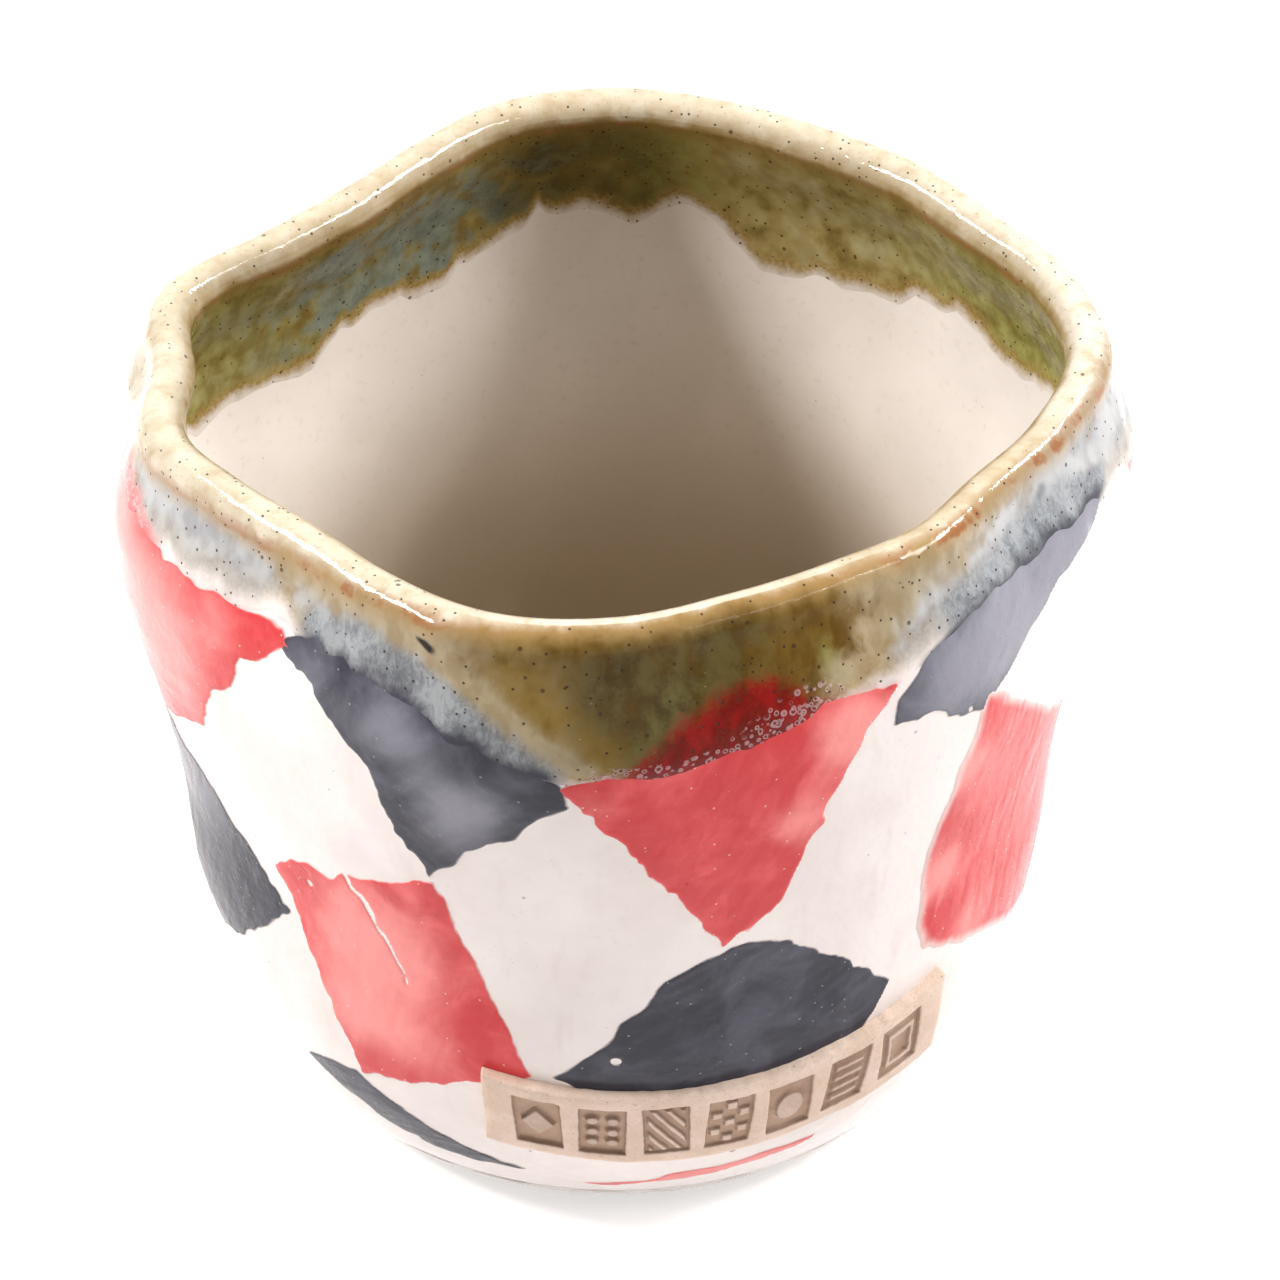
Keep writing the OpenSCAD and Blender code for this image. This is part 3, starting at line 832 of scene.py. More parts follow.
def label_material():
    s = new_shader("bare_clay")
    place = s.mm()
    cloud = s.noise(place, 4, 3)
    grain = s.noise(place, 0.28, 4, 0.7)
    coarse = s.noise(place, 0.8, 3, 0.6)
    color = s.mix((228, 205, 189), (218, 193, 174), s.ramp(cloud, 0.35, 0.65))
    color = s.over(color, (176, 144, 120), s.ramp(grain, 0.5, 0.75), 0.5)
    color = s.over(color, (224, 202, 182), s.ramp(coarse, 0.6, 0.8), 0.5)
    sunk = s.value("sunk")
    # Painted shade: the sunken squares turn darker, darkest on their sloping walls, where shade
    # falls in the hollows.
    wall = s.times(s.ramp(sunk, 0.04, 0.14), s.ramp(sunk, 0.5, 0.3))
    color = s.over(color, (158, 124, 98), s.ramp(sunk, 0.12, 0.5), 0.7)
    color = s.over(color, (112, 80, 58), wall, 0.6)
    dark = s.spots(place, 0.9, 0.1, 0.3)
    color = s.over(color, (120, 92, 70), dark, 0.5)
    height = s.add_up(s.times(grain, 0.07), s.times(coarse, 0.06), s.times(dark, -0.04))
    return s.surface(color, 0.6, s.bump(height))


def rim_glaze_material():
    s = new_shader("runny_glaze")
    place = s.mm()
    inner = s.value("inner")
    flow = s.noise(s.mm(1, 1, 0.6), 2.1, 3, 0.5, 0.3)
    mottle = s.noise(place, 2.2, 3, 0.5)
    run = s.math("ADD", flow, s.times(inner, s.math("SUBTRACT", mottle, flow)))
    run = s.middle(run)
    grain = s.noise(place, 0.42, 3, 0.6)
    fine = s.middle(grain)
    broad = s.middle(s.noise(place, 4.6, 3, 0.5, 0.3))
    edge = s.value("edge")

    def tinted(color, tone, key, strength, by_run, by_broad):
        """A colour with a tint where the mesh has it, uneven with the runs and broad clouds."""
        uneven = s.add_up(s.times(run, by_run), s.times(broad, by_broad), 1.0)
        weight = s.times(s.value(key), uneven)
        return s.over(color, tone, s.ramp(weight, 0.1, 0.9), strength)

    # The olive body of the glaze, then its tints.
    outer_body = s.mix((94, 67, 14), (119, 91, 36), s.ramp(run, -0.18, 0.2))
    inner_body = s.mix((116, 98, 50), (146, 128, 74), s.ramp(run, -0.2, 0.22))
    color = s.mix(outer_body, inner_body, inner)
    color = s.over(color, (84, 66, 34), s.ramp(fine, 0.0, 0.25), 0.3)
    gold = s.mix((150, 124, 62), (176, 156, 92), inner)
    color = tinted(color, gold, "gold", 0.6, 1.2, 2.6)
    leafy = s.add_up(run, s.times(fine, 0.5))
    green = s.mix((108, 110, 44), (156, 160, 88), s.ramp(leafy, -0.24, 0.26))
    color = tinted(color, green, "green", 0.6, 1.8, 2.6)
    tan = s.mix((168, 150, 118), (188, 172, 142), s.ramp(run, -0.14, 0.14))
    color = tinted(color, tan, "tan", 0.75, 1.2, 2.6)
    teal = s.mix((90, 104, 102), (124, 134, 126), s.ramp(leafy, -0.24, 0.24))
    color = tinted(color, teal, "teal", 0.8, 2.4, 5.0)
    milk = s.mix((156, 159, 166), (188, 190, 194), s.ramp(s.add_up(run, broad), -0.24, 0.2))
    milk = s.over(milk, (168, 160, 140), inner, 0.6)
    color = tinted(color, milk, "milk", 0.85, 1.4, 2.0)
    dark = s.mix((56, 44, 18), (84, 78, 42), s.ramp(leafy, -0.2, 0.2))
    color = tinted(color, dark, "dark", 0.7, 2.0, 2.6)
    color = tinted(color, (98, 102, 112), "slate", 0.7, 1.0, 0.5)

    # Slip that shows through it.
    red = s.value("under_red")
    crimson = s.mix((110, 2, 6), (142, 8, 12), s.ramp(run, -0.12, 0.14))
    uneven = s.add_up(fine, s.times(broad, 0.5))
    washed = s.mix((220, 112, 114), (226, 176, 174), s.ramp(uneven, -0.06, 0.2))
    crimson = s.mix(crimson, washed, s.value("milky"))
    covered = s.add_up(red, s.times(fine, 0.9), s.times(run, 0.7))
    color = s.over(color, crimson, s.ramp(covered, 0.2, 1.05), 0.95)
    black = s.most(s.value("under_black"), s.value("veil"))
    veins = s.middle(s.noise(s.mm(1, 1, 0.5), 0.9, 5, 0.7, 1.6))
    veiled = s.add_up(veins, s.times(broad, 0.8), s.times(run, 0.3))
    slate = s.mix((108, 113, 120), (160, 164, 168), s.ramp(veiled, -0.22, 0.22))
    veil = s.ramp(s.add_up(black, s.times(fine, 0.3), s.times(run, 0.5)), 0.2, 0.9)
    color = s.over(color, slate, veil, 0.92)

    # Thin places: the lower fringe, and the lip, where the glaze ran off.
    below = s.mix((236, 226, 222), (208, 66, 70), red)
    below = s.mix(below, (64, 64, 74), black)
    below = s.mix(below, (222, 212, 203), inner)
    fringe = s.add_up(edge, s.times(run, 1.0), s.times(broad, 1.6), s.times(fine, 0.3))
    bare = s.math("SUBTRACT", 1.0, s.most(red, black))
    ochre = s.mix((178, 150, 96), (146, 114, 58), s.ramp(fine, -0.12, 0.12))
    ochre_edge = s.times(s.ramp(fringe, 2.6, 0.8), s.ramp(inner, 0.3, 0.7, 0.3, 0.8))
    color = s.mix(color, ochre, s.times(ochre_edge, bare))
    color = s.mix(color, below, s.times(s.ramp(fringe, 1.4, 0.0), bare))
    color = s.mix(color, below, s.times(s.ramp(fringe, 1.3, 0.1), black))
    color = s.mix(color, below, s.ramp(fringe, 0.6, -0.3))
    lip_line = s.add_up(s.value("lip"), s.times(broad, 2.4), s.times(run, 1.2))
    lip_line = s.add_up(lip_line, s.times(fine, 0.6))
    worn = s.mix((168, 136, 90), (134, 104, 54), inner)
    color = s.over(color, worn, s.ramp(lip_line, -2.8, -0.3), 0.7)
    cream = s.mix((180, 160, 126), (202, 188, 160), s.ramp(broad, -0.14, 0.16))
    cream = s.over(cream, (174, 152, 114), s.ramp(inner, 0.1, 0.9), 0.75)
    pale = s.times(s.value("pale"), s.ramp(run, -0.2, 0.1, 0.6, 1.0))
    cream = s.mix(cream, (226, 218, 202), pale)
    cream = s.over(cream, (226, 219, 206), s.ramp(run, 0.0, 0.2), 0.25)
    cream = s.over(cream, (160, 140, 98), s.ramp(run, 0.0, -0.2), 0.25)
    cream = s.over(cream, (168, 134, 92), s.ramp(fine, 0.05, 0.22), 0.4)
    rust = s.times(s.ramp(lip_line, -1.2, -0.5), s.ramp(lip_line, 0.8, 0.0))
    rust = s.times(rust, s.value("rust"))
    rust = s.times(rust, s.ramp(s.add_up(run, broad), -0.06, 0.16, 0.1, 1.0))
    color = s.over(color, cream, s.ramp(lip_line, -0.8, 1.0), 0.95)
    color = s.over(color, (150, 90, 42), rust, 0.85)

    # Iron specks, gold glints, burst bubbles, and a small pit whose shade is painted in.
    iron = s.spots(place, 0.95, 0.17, 0.55)
    color = s.over(color, (52, 36, 22), iron, 0.85)
    blot = s.spots(place, 2.3, 0.27, 0.4)
    color = s.over(color, (64, 42, 26), blot, 0.75)
    glint = s.spots(place, 1.15, 0.06, 0.25)
    color = s.over(color, (226, 206, 140), glint, 0.6)
    bubbles = s.value("bubbles")
    hazy = s.add_up(bubbles, s.times(run, 0.6))
    color = s.over(color, (140, 74, 86), s.ramp(hazy, 0.5, 1.0), 0.1)
    burst = 0.0
    core = 0.0
    for size in (0.75, 1.1):
        far, pick = s.cells(place, size)
        shown = s.ramp(s.math("SUBTRACT", bubbles, pick), -0.45, -0.2)
        shown = s.times(shown, s.ramp(bubbles, 0.1, 0.4))
        ring = s.times(s.ramp(far, 0.14, 0.26), s.ramp(far, 0.42, 0.32))
        burst = s.most(burst, s.times(ring, shown))
        core = s.most(core, s.times(s.ramp(far, 0.24, 0.12), shown))
    color = s.over(color, (110, 44, 56), core, 0.5)
    color = s.over(color, (206, 172, 172), burst, 0.5)
    # Painted shade of the small pit under the lip.
    color = s.mix(color, (40, 34, 26), s.value("pit"))
    wave = s.noise(place, 3.0, 2)
    height = s.add_up(
        s.times(wave, 0.12),
        s.times(grain, 0.02),
        s.times(iron, -0.03),
        s.times(burst, 0.06),
        s.times(core, -0.06),
    )
    rough = s.add_up(0.03, s.times(burst, 0.15), s.times(s.ramp(broad, -0.1, 0.2), 0.03))
    level = s.ramp(lip_line, -0.8, 0.6, 0.09, 0.5)
    return s.surface(color, rough, s.bump(height), level)


# Pieces.
def inside_distance(angle, share, outline, radius):
    """Distance in mm inside an outline of (angle, share) points, negative outside it."""
    x, y = unrolled(angle, share, radius)
    points = [unrolled(a, s, radius) for a, s in outline]
    best = np.full(np.broadcast(x, y).shape, 1e9)
    within = np.zeros(best.shape, bool)
    for (x0, y0), (x1, y1) in zip(points[-1:] + points[:-1], points):
        best = np.minimum(best, stretch_distance(x, y, x0, y0, x1, y1))
        if y0 != y1:
            within ^= ((y0 > y) != (y1 > y)) & (x < (x1 - x0) * (y - y0) / (y1 - y0) + x0)
    return np.where(within, best, -best)


def patch_radius(outline):
    """The wall's mean radius at the middle of a patch."""
    middle = sum(p[1] for p in outline) / len(outline)
    return float(mean_r(BASE_T + middle * WALL_H))


def patch_distance(name, brush, outline, angle, share):
    """Signed distance in mm with the ragged edge of a brush stroke, and places along the brush.

    Cracks and bare dots lie outside too, with their distance doubled for a crisp edge.
    """
    radius = patch_radius(outline)
    seed = sum(ord(c) * (i + 3) for i, c in enumerate(name))
    x, y = unrolled(angle, share, radius)
    u, v = turned_axes(x, y, brush)
    far = inside_distance(angle, share, outline, radius)
    comb = SOFT_COMB if name in SOFT_EDGES else COMB
    along = u * BRUSH_STRETCH
    far = far + 0.4 * noise(x, y, 3.1, seed) + comb * noise(along, v, 1.1, seed + 1)
    far = far + 0.12 * noise(along, v, 0.5, seed + 2)
    if name in CRACKS:
        # Widest at its top, narrower below, and closed at its foot.
        half, line = CRACKS[name]
        width = half * (0.45 + 0.75 * step(share, 0.42, 0.58)) * step(share, 0.395, 0.44)
        width = width + 0.05 * noise(x, y, 0.8, seed + 3)
        wavy_angle = angle + 0.7 * noise(x, y, 1.6, seed + 4)
        wavy_share = share + 0.006 * noise(x, y, 1.1, seed + 5)
        far = np.minimum(far, (line_distance(wavy_angle, wavy_share, line) - width) * 2)
    for a, level, half in DOTS.get(name, []):
        spot = np.hypot(*unrolled(angle - a, share - level, radius))
        far = np.minimum(far, (spot - half) * 2)
    return far, u, v


def nearest_patch(patches, angles, shares):
    """Signed distance to the nearest patch, each met in its own outline's range of angles."""
    best = np.full(shares.shape, -9.0)
    for name, (brush, outline) in patches.items():
        middle = (min(p[0] for p in outline) + max(p[0] for p in outline)) / 2
        turned = (angles - middle + 180) % 360 - 180 + middle
        far, _, _ = patch_distance(name, brush, outline, turned + 0 * shares, shares)
        best = np.maximum(best, far)
    return best


def make_patch(name, brush, outline, material):
    """A closed thin plate of slip whose edge runs into the clay."""
    radius = patch_radius(outline)
    low_a, low_s = np.min(outline, 0)
    high_a, high_s = np.max(outline, 0)
    n = int((math.radians(high_a - low_a) * radius + 2 * PATCH_MARGIN) / PATCH_GRID) + 2
    m = int(((high_s - low_s) * WALL_H + 2 * PATCH_MARGIN) / PATCH_GRID) + 2
    more_a = math.degrees(PATCH_MARGIN / radius)
    more_s = PATCH_MARGIN / WALL_H
    across = np.linspace(low_a - more_a, high_a + more_a, n)
    up = np.linspace(max(low_s - more_s, 0.001), min(high_s + more_s, 0.995), m)
    angles, shares = np.meshgrid(across, up, indexing="ij")
    far, u, v = patch_distance(name, brush, outline, angles, shares)
    far[[0, -1], :] = -1
    far[:, [0, -1]] = -1
    off = (SLIP_T + SLIP_DIP) * step(far, -0.22, 0.2) - SLIP_DIP
    off = off + 0.03 * noise(u * 0.2, v, 0.8, 5) * step(far, 0.2, 1.0)
    # Painted sheen and light in the slip, round the listed places, with some real paler brushing.
    cloud = np.zeros((n, m))
    for angle, share, reach, weight in SHEEN_AND_PALE_CLOUDS.get(name, []):
        away = np.hypot(*unrolled(angles - angle, shares - share, radius))
        cloud = cloud + weight * np.exp(-(away / reach) ** 2)
    quads = grid_quads(n, m)
    quads = quads[far.ravel()[quads].max(1) > -0.3]
    used, packed = np.unique(plate_faces(quads, n * m), return_inverse=True)
    points = np.stack([outside(angles, shares, off), outside(angles, shares, -COAT_ROOT)])
    place = used % (n * m)
    values = {
        "edge": far.ravel()[place],
        "brush": np.stack([u, v, 0 * u], -1).reshape(-1, 3)[place],
        "cloud": cloud.ravel()[place],
        "soft": np.full(len(used), SOFT_EDGES.get(name, 0.3)),
    }
    mesh = make_mesh(name, points.reshape(-1, 3)[used], [packed.reshape(-1, 4)], values)
    make_piece(mesh, material, name)


def make_wall(material):
    """The wall in one closed skin: up the outside, over the lip and down the inside."""
    angles = ring_angles(540)
    rise = np.linspace(0, 1, 96)[None, :]
    turn = np.linspace(0, 180, 16)[None, 1:-1]
    fall = np.linspace(1, 0, 70)[None, :]
    parts = [outside(angles, rise, 0), lip(angles, turn, 0), inside(angles, fall, 0)]
    points = np.concatenate(parts, 1)
    quads = grid_quads(len(angles), points.shape[1], True, True)
    mesh = make_mesh("wall", points.reshape(-1, 3), [quads], {})
    make_piece(mesh, material, "wall")


def make_base(material):
    """The round slab, from the middle of its underside round the soft edge to its middle on top."""
    angles = ring_angles(360)
    turn = np.radians(np.linspace(-90, 0, 7))
    edge_r = FOOT_FLAT_R + FOOT_SOFT * np.cos(turn)
    edge_z = FOOT_SOFT + FOOT_SOFT * np.sin(turn)
    side_z = np.linspace(FOOT_SOFT, BASE_T, 12)[1:]
    blend = step(side_z, FOOT_SOFT, FOOT_BLEND_Z)
    leaning = edge_r[-1] + (side_z - FOOT_SOFT) * FOOT_LEAN
    side_r = mean_r(side_z) * blend + leaning * (1 - blend)
    under = [8, 18, 27, 31]
    over = [34, 20, 8]
    radii = np.concatenate([under, edge_r, side_r, over])
    levels = np.concatenate([0 * np.array(under), edge_z, side_z, [BASE_T] * len(over)])
    grain = 0.05 * ring_noise(angles, 120, levels[None, :], 21) * (levels > 0.4)[None, :]
    points = at(angles, radii[None, :] + grain, levels[None, :])
    faces = [grid_quads(*points.shape[:2], True, False), end_fans(*points.shape[:2])]
    points = np.concatenate([points.reshape(-1, 3), [[0, 0, 0], [0, 0, BASE_T]]])
    glazed = step(points[:, 2], 1.0, 3.2)
    mesh = make_mesh("base_slab", points, faces, {"glazed": glazed})
    make_piece(mesh, material, "base_slab")


def make_liner(material):
    """The smooth glaze on the inside, from the middle of the floor up under the runny glaze.

    Its faces are turned round, because its points start on the side that faces inward.
    """
    angles = ring_angles(480)
    top = 0.97
    side = ease(np.linspace(0, 1, 90))[None, :] * top
    floor = np.linspace(0.1, 0.97, 14)[None, :]

    def skin(off):
        flat = at(angles, (inner_r(angles, 0) - off) * floor, BASE_T + off + 0 * floor)
        return np.concatenate([flat, inside(angles, side, off)], 1)

    upper = skin(LINER_T)
    upper[:, -1] = inside(angles, top, -LINER_T)[:, 0]
    points = np.concatenate([upper, skin(-COAT_ROOT)[:, ::-1]], 1)
    quads = grid_quads(*points.shape[:2], True, False)
    faces = [quads[:, ::-1], end_fans(*points.shape[:2])[:, ::-1]]
    middles = [[0, 0, BASE_T + LINER_T], [0, 0, BASE_T - COAT_ROOT]]
    points = np.concatenate([points.reshape(-1, 3), middles])
    mesh = make_mesh("liner_glaze", points, faces, {"height": points[:, 2]})
    make_piece(mesh, material, "liner_glaze")


def drip_end(marks, angle, shift, depth, fray, seed):
    """Height above the slab at which the runny glaze ends, in mm, with drips and a fine fray."""
    drips = depth * np.abs(ring_noise(angle, 84, 0 * angle, seed))
    frayed = fray * ring_noise(angle, 230, 0 * angle, seed + 1)
    return soft_value(marks, angle) * WALL_H + shift - drips + frayed


def up_from(end, t):
    """Shares of the wall's height from just below the glaze's end up to the rim."""
    return ((end - GLAZE_MARGIN) * (1 - t) + WALL_H * t) / WALL_H


def glaze_off(edge, angle, share, under, full, length, seed):
    """How far the glaze stands off: in runs on the wall, sunk below its end, even on the lip."""
    body = full * (1 - np.exp(-np.maximum(edge, 0) / length))
    runs = 1 + 0.22 * ring_noise(angle, 150, share * 12, seed)
    off = np.where(edge > 0, body * runs, -GLAZE_DIP * step(-edge, 0, 0.5))
    to_lip = step(share, 0.94, 1.0)
    return under + off * (1 - to_lip) + (GLAZE_LIP_T - under) * to_lip


def make_rim_glaze(material):
    """The runny glaze, thick on the wall, thin on the lip, with ragged drips on both sides."""
    angles = ring_angles(1000)
    end_out = drip_end(DRIP_OUT, angles, 0.3, 0.9, 0.12, 31)
    end_in = drip_end(DRIP_IN, angles, 0.6, 1.7, 0.2, 33)
    fine_rows = np.linspace(0, 1, 64)[None, :]
    coarse_rows = np.linspace(0, 1, 7)[None, :]
    out_share = up_from(end_out, fine_rows)
    in_share = up_from(end_in, fine_rows)
    out_edge = out_share * WALL_H - end_out
    in_edge = in_share * WALL_H - end_in
    out_off = glaze_off(out_edge, angles, out_share, 0, GLAZE_OUT_T, 1.4, 41)
    in_off = glaze_off(in_edge, angles, in_share, LINER_T, GLAZE_IN_T, 2.4, 42)
    turn = np.linspace(0, 180, 26)[None, 1:-1]
    shown = [
        outside(angles, out_share, out_off),
        lip(angles, turn, GLAZE_LIP_T),
        inside(angles, in_share, in_off)[:, ::-1],
    ]
    hidden = [
        inside(angles, up_from(end_in, coarse_rows), -DEEP_ROOT),
        lip(angles, np.array([[150.0, 120.0, 90.0, 60.0, 30.0]]), -DEEP_ROOT),
        outside(angles, up_from(end_out, coarse_rows), -DEEP_ROOT)[:, ::-1],
    ]
    points = np.concatenate(shown + hidden, 1)
    around, m = points.shape[:2]
    hidden_count = sum(h.shape[1] for h in hidden)

    def full_row(outer, over=0.0, inner=0.0, under=0.0):
        """One value per point, from those outside, over the lip, inside and on the hidden side."""
        rows = [
            np.broadcast_to(outer, out_share.shape),
            np.broadcast_to(over, (around, turn.shape[1])),
            np.broadcast_to(inner, in_share.shape)[:, ::-1],
            np.full((around, hidden_count), float(under)),
        ]
        return np.concatenate(rows, 1).ravel()

    # Distances from the middle of the lip, in mm, and where the pale lip ends.
    arc = math.pi * LIP_R / 2
    turned = angles % 360
    side = turn - 90
    depth_out = arc + (1 - out_share) * WALL_H
    depth_in = arc + (1 - in_share) * WALL_H
    reach_out = round_value(LIP_OUT, angles)
    reach_in = round_value(LIP_IN, angles)
    over = np.where(side < 0, reach_out, reach_in) - np.abs(side) / 90 * arc
    rust = round_value(RUST, angles)
    border_out = soft_value(BORDER, angles)
    above = 8.0
    values = {
        "lip": full_row(reach_out - depth_out, over, reach_in - depth_in),
        "pale": full_row(0.0, soft_value(PALE_LIP, angles) * step(turn, 175, 110)),
        "rust": full_row(rust, rust * step(turn, 110, 60), 0.55),
        "edge": full_row(out_edge / border_out, above, in_edge / BORDER_IN, above),
        "inner": full_row(0.0, step(turn, 70, 150), 1.0),
    }
    for key in ("teal", "green", "dark", "gold", "tan", "milk", "slate", "veil"):
        outer = round_value(TINTS_OUT.get(key, [(0, 0)]), angles) + 0 * out_share
        inner = round_value(TINTS_IN.get(key, [(0, 0)]), angles)
        for tint, half, weight, line in GLAZE_RUNS:
            if tint == key:
                away = line_distance(turned, out_share, line)
                outer = outer + weight * np.exp(-(away / half) ** 2)
        over = outer[:, -1:] * (180 - turn) / 180 + inner * turn / 180
        if key == "veil":
            over = 0.0
        if key == "teal":
            inner = inner * step(in_edge, 0.8, 3.5) * step(depth_in - reach_in, 0.8, 3.5)
        values[key] = full_row(outer, over, inner)

    red = nearest_patch(RED_PATCHES, angles, out_share)
    black = nearest_patch(BLACK_PATCHES, angles, out_share)
    band = step(line_distance(turned, out_share, BUBBLE_LINE), 1.9, 0.5)
    cluster = 0.5 * step(line_distance(turned, out_share, BUBBLE_CLUSTER), 2.2, 0.6)
    values["under_red"] = full_row(step(red, -1.2, 2.8))
    values["under_black"] = full_row(step(black, -0.8, 0.8))
    values["bubbles"] = full_row(np.maximum(band, cluster))
    values["milky"] = full_row(soft_value(MILKY, angles))
    values["pit"] = full_row(step(line_distance(turned, out_share, SHADED_PIT), 0.6, 0.25))
    quads = grid_quads(around, m, True, True)
    mesh = make_mesh("rim_glaze", points.reshape(-1, 3), [quads], values)
    make_piece(mesh, material, "rim_glaze")


# The stamped strip: its size, its lowest height with the rise towards its ends, where round the
# cup its middle and its lowest place are, and the step between its stamps.
LABEL_W = 50.0
LABEL_H = 11.8
LABEL_T = 1.2
LABEL_Z = 20.7
LABEL_RISE = 3.2
LABEL_R = float(mean_r(LABEL_Z))
LABEL_ANGLE = 284.5
LABEL_LOW_ANGLE = 280
LABEL_PITCH = 6.4
LABEL_MARGIN = 2.6
LABEL_GRID = 0.125
LABEL_DIP = 0.25
STAMP_W = 4.8
STAMP_H = 8.0
# Each stamp's depth and drop in mm, and its tilt in degrees.
STAMPS = [
    (0.66, 0.0, 1.5), (0.62, -0.1, -1.0), (0.42, 0.15, 2.5), (0.5, 0.1, -2.0), (0.6, -0.15, 1.0),
    (0.58, 0.0, -3.0), (0.52, 0.2, 2.0),
]


def box_shape(x, y, w, h):
    """Distance inside a rectangle about the middle, negative outside it."""
    return np.minimum(w / 2 - np.abs(x), h / 2 - np.abs(y))


def stamp_marks(kind, x, y):
    """Signed distance in mm inside the raised marks of one stamp, about its middle.

    In order: a diamond, dots, slanted lines, a check, a disc, level bars and a frame.
    """
    if kind == 0:
        return 1.75 - np.abs(x) - np.abs(y) * 0.75
    if kind == 1:
        near = [0.72 - np.hypot(x - p, y - q) for p in (-1, 1) for q in (-1.9, 0, 1.9)]
        return np.maximum.reduce(near)
    if kind == 2:
        lean = (x + y * 0.6) % 1.5 - 0.75
        return np.minimum(0.36 - np.abs(lean), box_shape(x, y, 3.9, 7.0))
    if kind == 3:
        cell = (np.floor((x + 2.1) / 1.4) + np.floor((y + 3.5) / 1.4)) % 2
        inner = 0.6 - np.maximum(np.abs((x + 2.1) % 1.4 - 0.7), np.abs((y + 3.5) % 1.4 - 0.7))
        return np.where((cell > 0) & (np.abs(x) < 2.1) & (np.abs(y) < 3.5), inner, -0.3)
    if kind == 4:
        return 1.55 - np.hypot(x, y * 0.7)
    if kind == 5:
        bars = [box_shape(x, y - q, 3.4, 0.8) for q in (-2.4, -0.8, 0.8, 2.4)]
        return np.maximum.reduce(bars)
    ring = np.maximum(np.abs(x) * 1.25, np.abs(y) * 0.75)
    return 0.38 - np.abs(ring - 1.7)


def make_label(material):
    """The strip with its sunken squares and the raised marks in them."""
    margin = 0.3
    n = int((LABEL_W + 2 * margin) / LABEL_GRID)
    m = int((LABEL_H + 2 * margin) / LABEL_GRID)
    across = np.linspace(-margin, LABEL_W + margin, n)
    up = np.linspace(-margin, LABEL_H + margin, m)
    x, y = np.meshgrid(across, up, indexing="ij")
    wobble = 0.16 * noise(x, y, 5.0, 51) + 0.06 * noise(x, y, 0.9, 52)
    edge = box_shape(x - LABEL_W / 2, y - LABEL_H / 2, LABEL_W, LABEL_H) + wobble - 0.12
    off = -LABEL_DIP + (LABEL_T + 0.3) * step(edge, -0.12, 0.22) + 0.12 * step(edge, 0.1, 0.9)
    sunk = np.zeros((n, m))
    for k, (depth, drop, tilt) in enumerate(STAMPS):
        middle = LABEL_MARGIN + LABEL_PITCH * (k + 0.5)
        u, v = turned_axes(x - middle, y - LABEL_H / 2 - drop, tilt)
        ragged = 0.05 * noise(x, y, 0.5, 60 + k)
        hollow = step(box_shape(u, v, STAMP_W, STAMP_H) + ragged, -0.05, 0.3)
        mark = step(stamp_marks(k, u, v) + ragged, -0.08, 0.18)
        sunk = np.maximum(sunk, hollow * (1 - 0.85 * mark) * depth)
    off = off - sunk + 0.03 * noise(x, y, 0.7, 71) + 0.05 * noise(x, y, 3.0, 72)
    angle = LABEL_ANGLE + np.degrees((x - LABEL_W / 2) / LABEL_R)
    from_lowest = (angle - LABEL_LOW_ANGLE) * math.radians(LABEL_R)
    level = LABEL_Z + LABEL_RISE * (2 * from_lowest / LABEL_W) ** 2
    share = share_at(level + y - LABEL_H / 2)
    off[[0, -1], :] = -COAT_ROOT
    off[:, [0, -1]] = -COAT_ROOT
    points = np.stack([outside(angle, share, off), outside(angle, share, -DEEP_ROOT)])
    values = {"sunk": np.stack([sunk, 0 * sunk]).ravel()}
    faces = [plate_faces(grid_quads(n, m), n * m)]
    mesh = make_mesh("label_strip", points.reshape(-1, 3), faces, values)
    make_piece(mesh, material, "label_strip")


make_wall(white_clay_material())
make_base(stoneware_material())
make_liner(liner_material())
make_rim_glaze(rim_glaze_material())
make_label(label_material())

# Tones of each slip: deep, thin, along the brush, in its pale clouds with their painted sheen and
# light, and in its specks.
SLIPS = {
    "red_slip": [(206, 58, 62), (228, 88, 90), (186, 38, 46), (248, 154, 150), (246, 190, 186)],
    "black_slip": [(50, 50, 60), (76, 76, 88), (40, 40, 50), (146, 145, 157), (150, 152, 162)],
}
for slip_slot, patches in (("red_slip", RED_PATCHES), ("black_slip", BLACK_PATCHES)):
    slip = slip_material(slip_slot, *SLIPS[slip_slot])
    for patch, (stroke, shape) in patches.items():
        make_patch(patch, stroke, shape, slip)


# Floor, light and camera.
FLOOR_SIZE = 3.0
FLOOR_CORNERS = [(-1, -1), (1, -1), (1, 1), (-1, 1)]
# How white the floor shows, under the cup and far from it, and the distances in mm between.
FLOOR_GLOW = (0.6, 1.0)
FLOOR_GLOW_R = (400, 1600)
# Lamps: place, width, height and power.
AIM = (0, 0, 0.06)
LAMPS = {
    "left_softbox": ((-0.60, 0.01, 0.61), 0.30, 0.06, 7.6),
    "right_softbox": ((0.59, 0.12, 0.64), 0.50, 0.06, 8.9),
    "left_strip": ((-0.56, 0.20, 0.61), 0.30, 0.06, 1.2),
    "right_strip": ((0.57, -0.19, 0.64), 0.40, 0.06, 1.2),
    "front_card": ((0, -0.80, 0.13), 1.30, 0.20, 1.0),
}
LAMP_COLOR = (1.0, 0.985, 0.965)
CAMERA_PLACE = (0, -0.3447, 0.3343)
CAMERA_TILT = 50
CAMERA_LENS = 118.55
CAMERA_SHIFT = (0.01875, 0.0141)


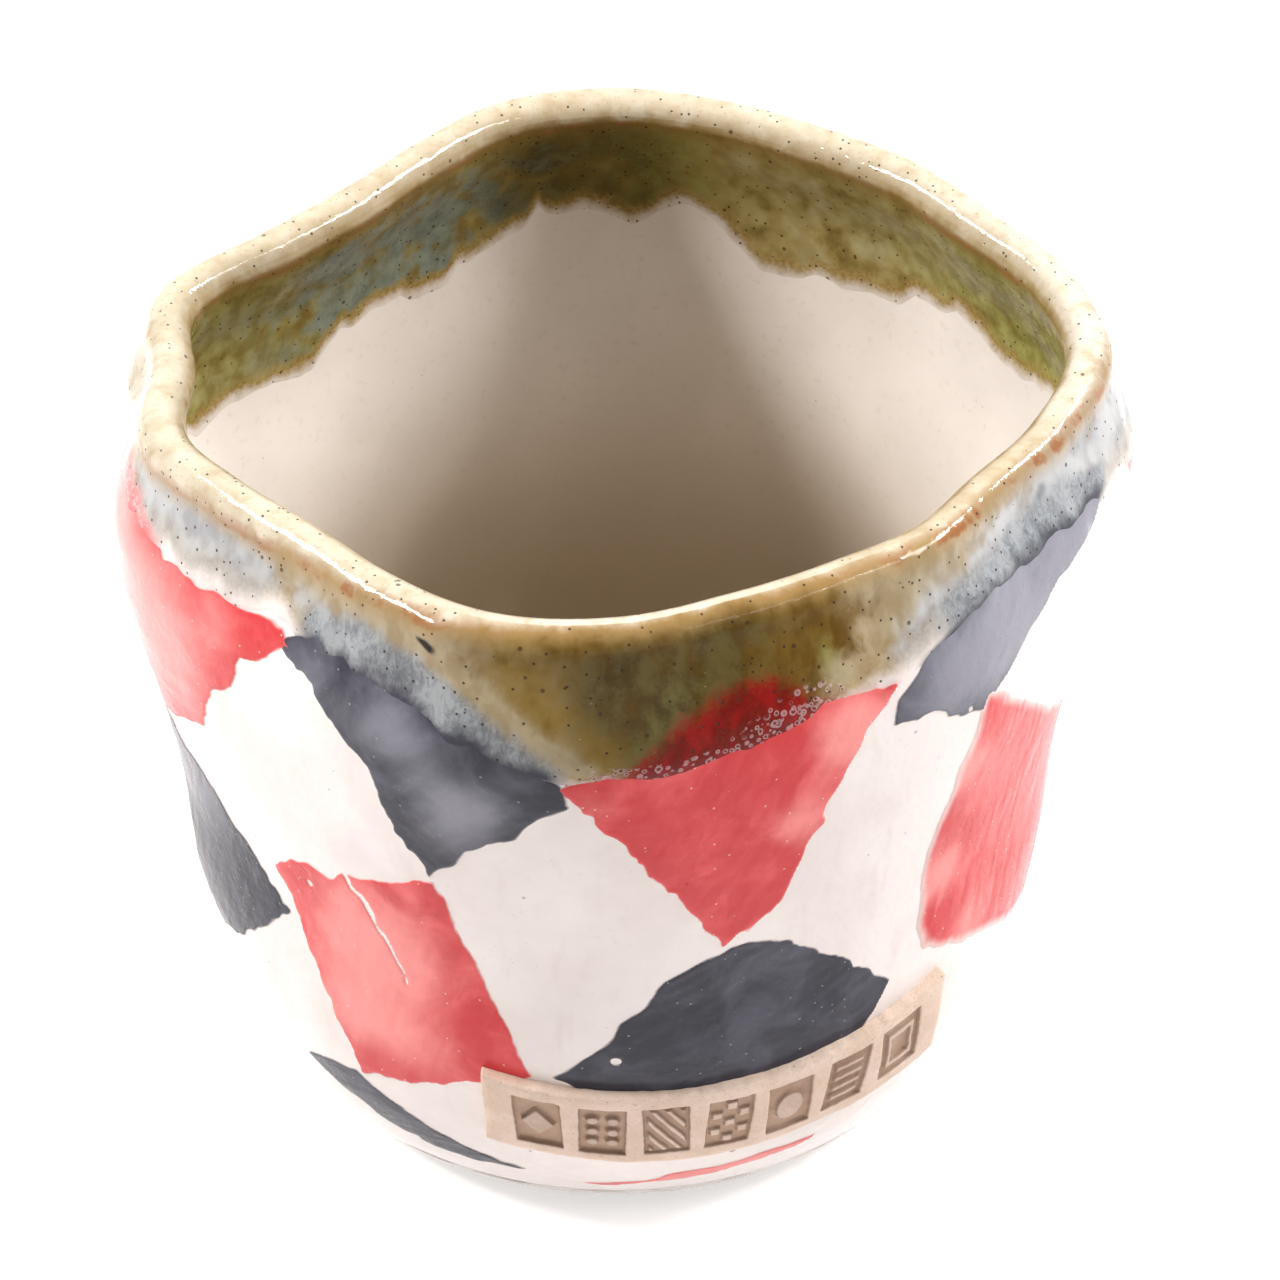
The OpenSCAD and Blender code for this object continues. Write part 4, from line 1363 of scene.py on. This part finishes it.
def make_floor():
    mesh = bpy.data.meshes.new("floor")
    corners = [(FLOOR_SIZE * x, FLOOR_SIZE * y, 0) for x, y in FLOOR_CORNERS]
    mesh.from_pydata(corners, [], [(0, 1, 2, 3)])
    s = new_shader("pale_floor")
    far = s.add("ShaderNodeVectorMath", {0: s.mm()}, operation="LENGTH")
    level = s.times(s.seen(), s.ramp(far.outputs["Value"], *FLOOR_GLOW_R, *FLOOR_GLOW))
    matt = s.add("ShaderNodeBsdfDiffuse", {"Color": [0.80, 0.79, 0.79, 1]})
    glow = s.add("ShaderNodeEmission", {"Color": [1, 1, 1, 1], "Strength": level})
    total = s.add("ShaderNodeAddShader", {0: matt.outputs["BSDF"], 1: glow.outputs["Emission"]})
    s.add("ShaderNodeOutputMaterial", {"Surface": total.outputs["Shader"]})
    mesh.materials.append(s.owner)
    show("floor", mesh)


def make_light(name, place, width, height, power):
    """A lamp that looks at the middle of the cup."""
    lamp = bpy.data.lights.new(name, "AREA")
    lamp.shape = "RECTANGLE"
    lamp.size = width
    lamp.size_y = height
    lamp.energy = power
    lamp.color = LAMP_COLOR
    holder = show(name, lamp)
    holder.location = place
    x, y, z = np.array(AIM) - np.array(place)
    holder.rotation_euler = (math.atan2(math.hypot(x, y), -z), 0, math.atan2(y, x) - math.pi / 2)


def make_world():
    """A dim warm world that shows white to the camera."""
    world = bpy.data.worlds.new("studio")
    bpy.context.scene.world = world
    s = Shader(world)
    dim = s.add("ShaderNodeBackground", {"Color": [1.0, 0.98, 0.96, 1], "Strength": 0.05})
    white = s.add("ShaderNodeBackground", {"Color": [1, 1, 1, 1], "Strength": 1.0})
    sources = {0: s.seen(), 1: dim.outputs[0], 2: white.outputs[0]}
    pick = s.add("ShaderNodeMixShader", sources)
    s.add("ShaderNodeOutputWorld", {"Surface": pick.outputs[0]})


def make_camera():
    data = bpy.data.cameras.new("camera")
    data.sensor_width = 36
    data.lens = CAMERA_LENS
    data.shift_x, data.shift_y = CAMERA_SHIFT
    camera = show("camera", data)
    camera.location = CAMERA_PLACE
    camera.rotation_euler = (math.radians(CAMERA_TILT), 0, 0)
    bpy.context.scene.camera = camera


make_floor()
for lamp_name, lamp_values in LAMPS.items():
    make_light(lamp_name, *lamp_values)
make_world()
make_camera()
bpy.context.scene.view_settings.view_transform = "Standard"
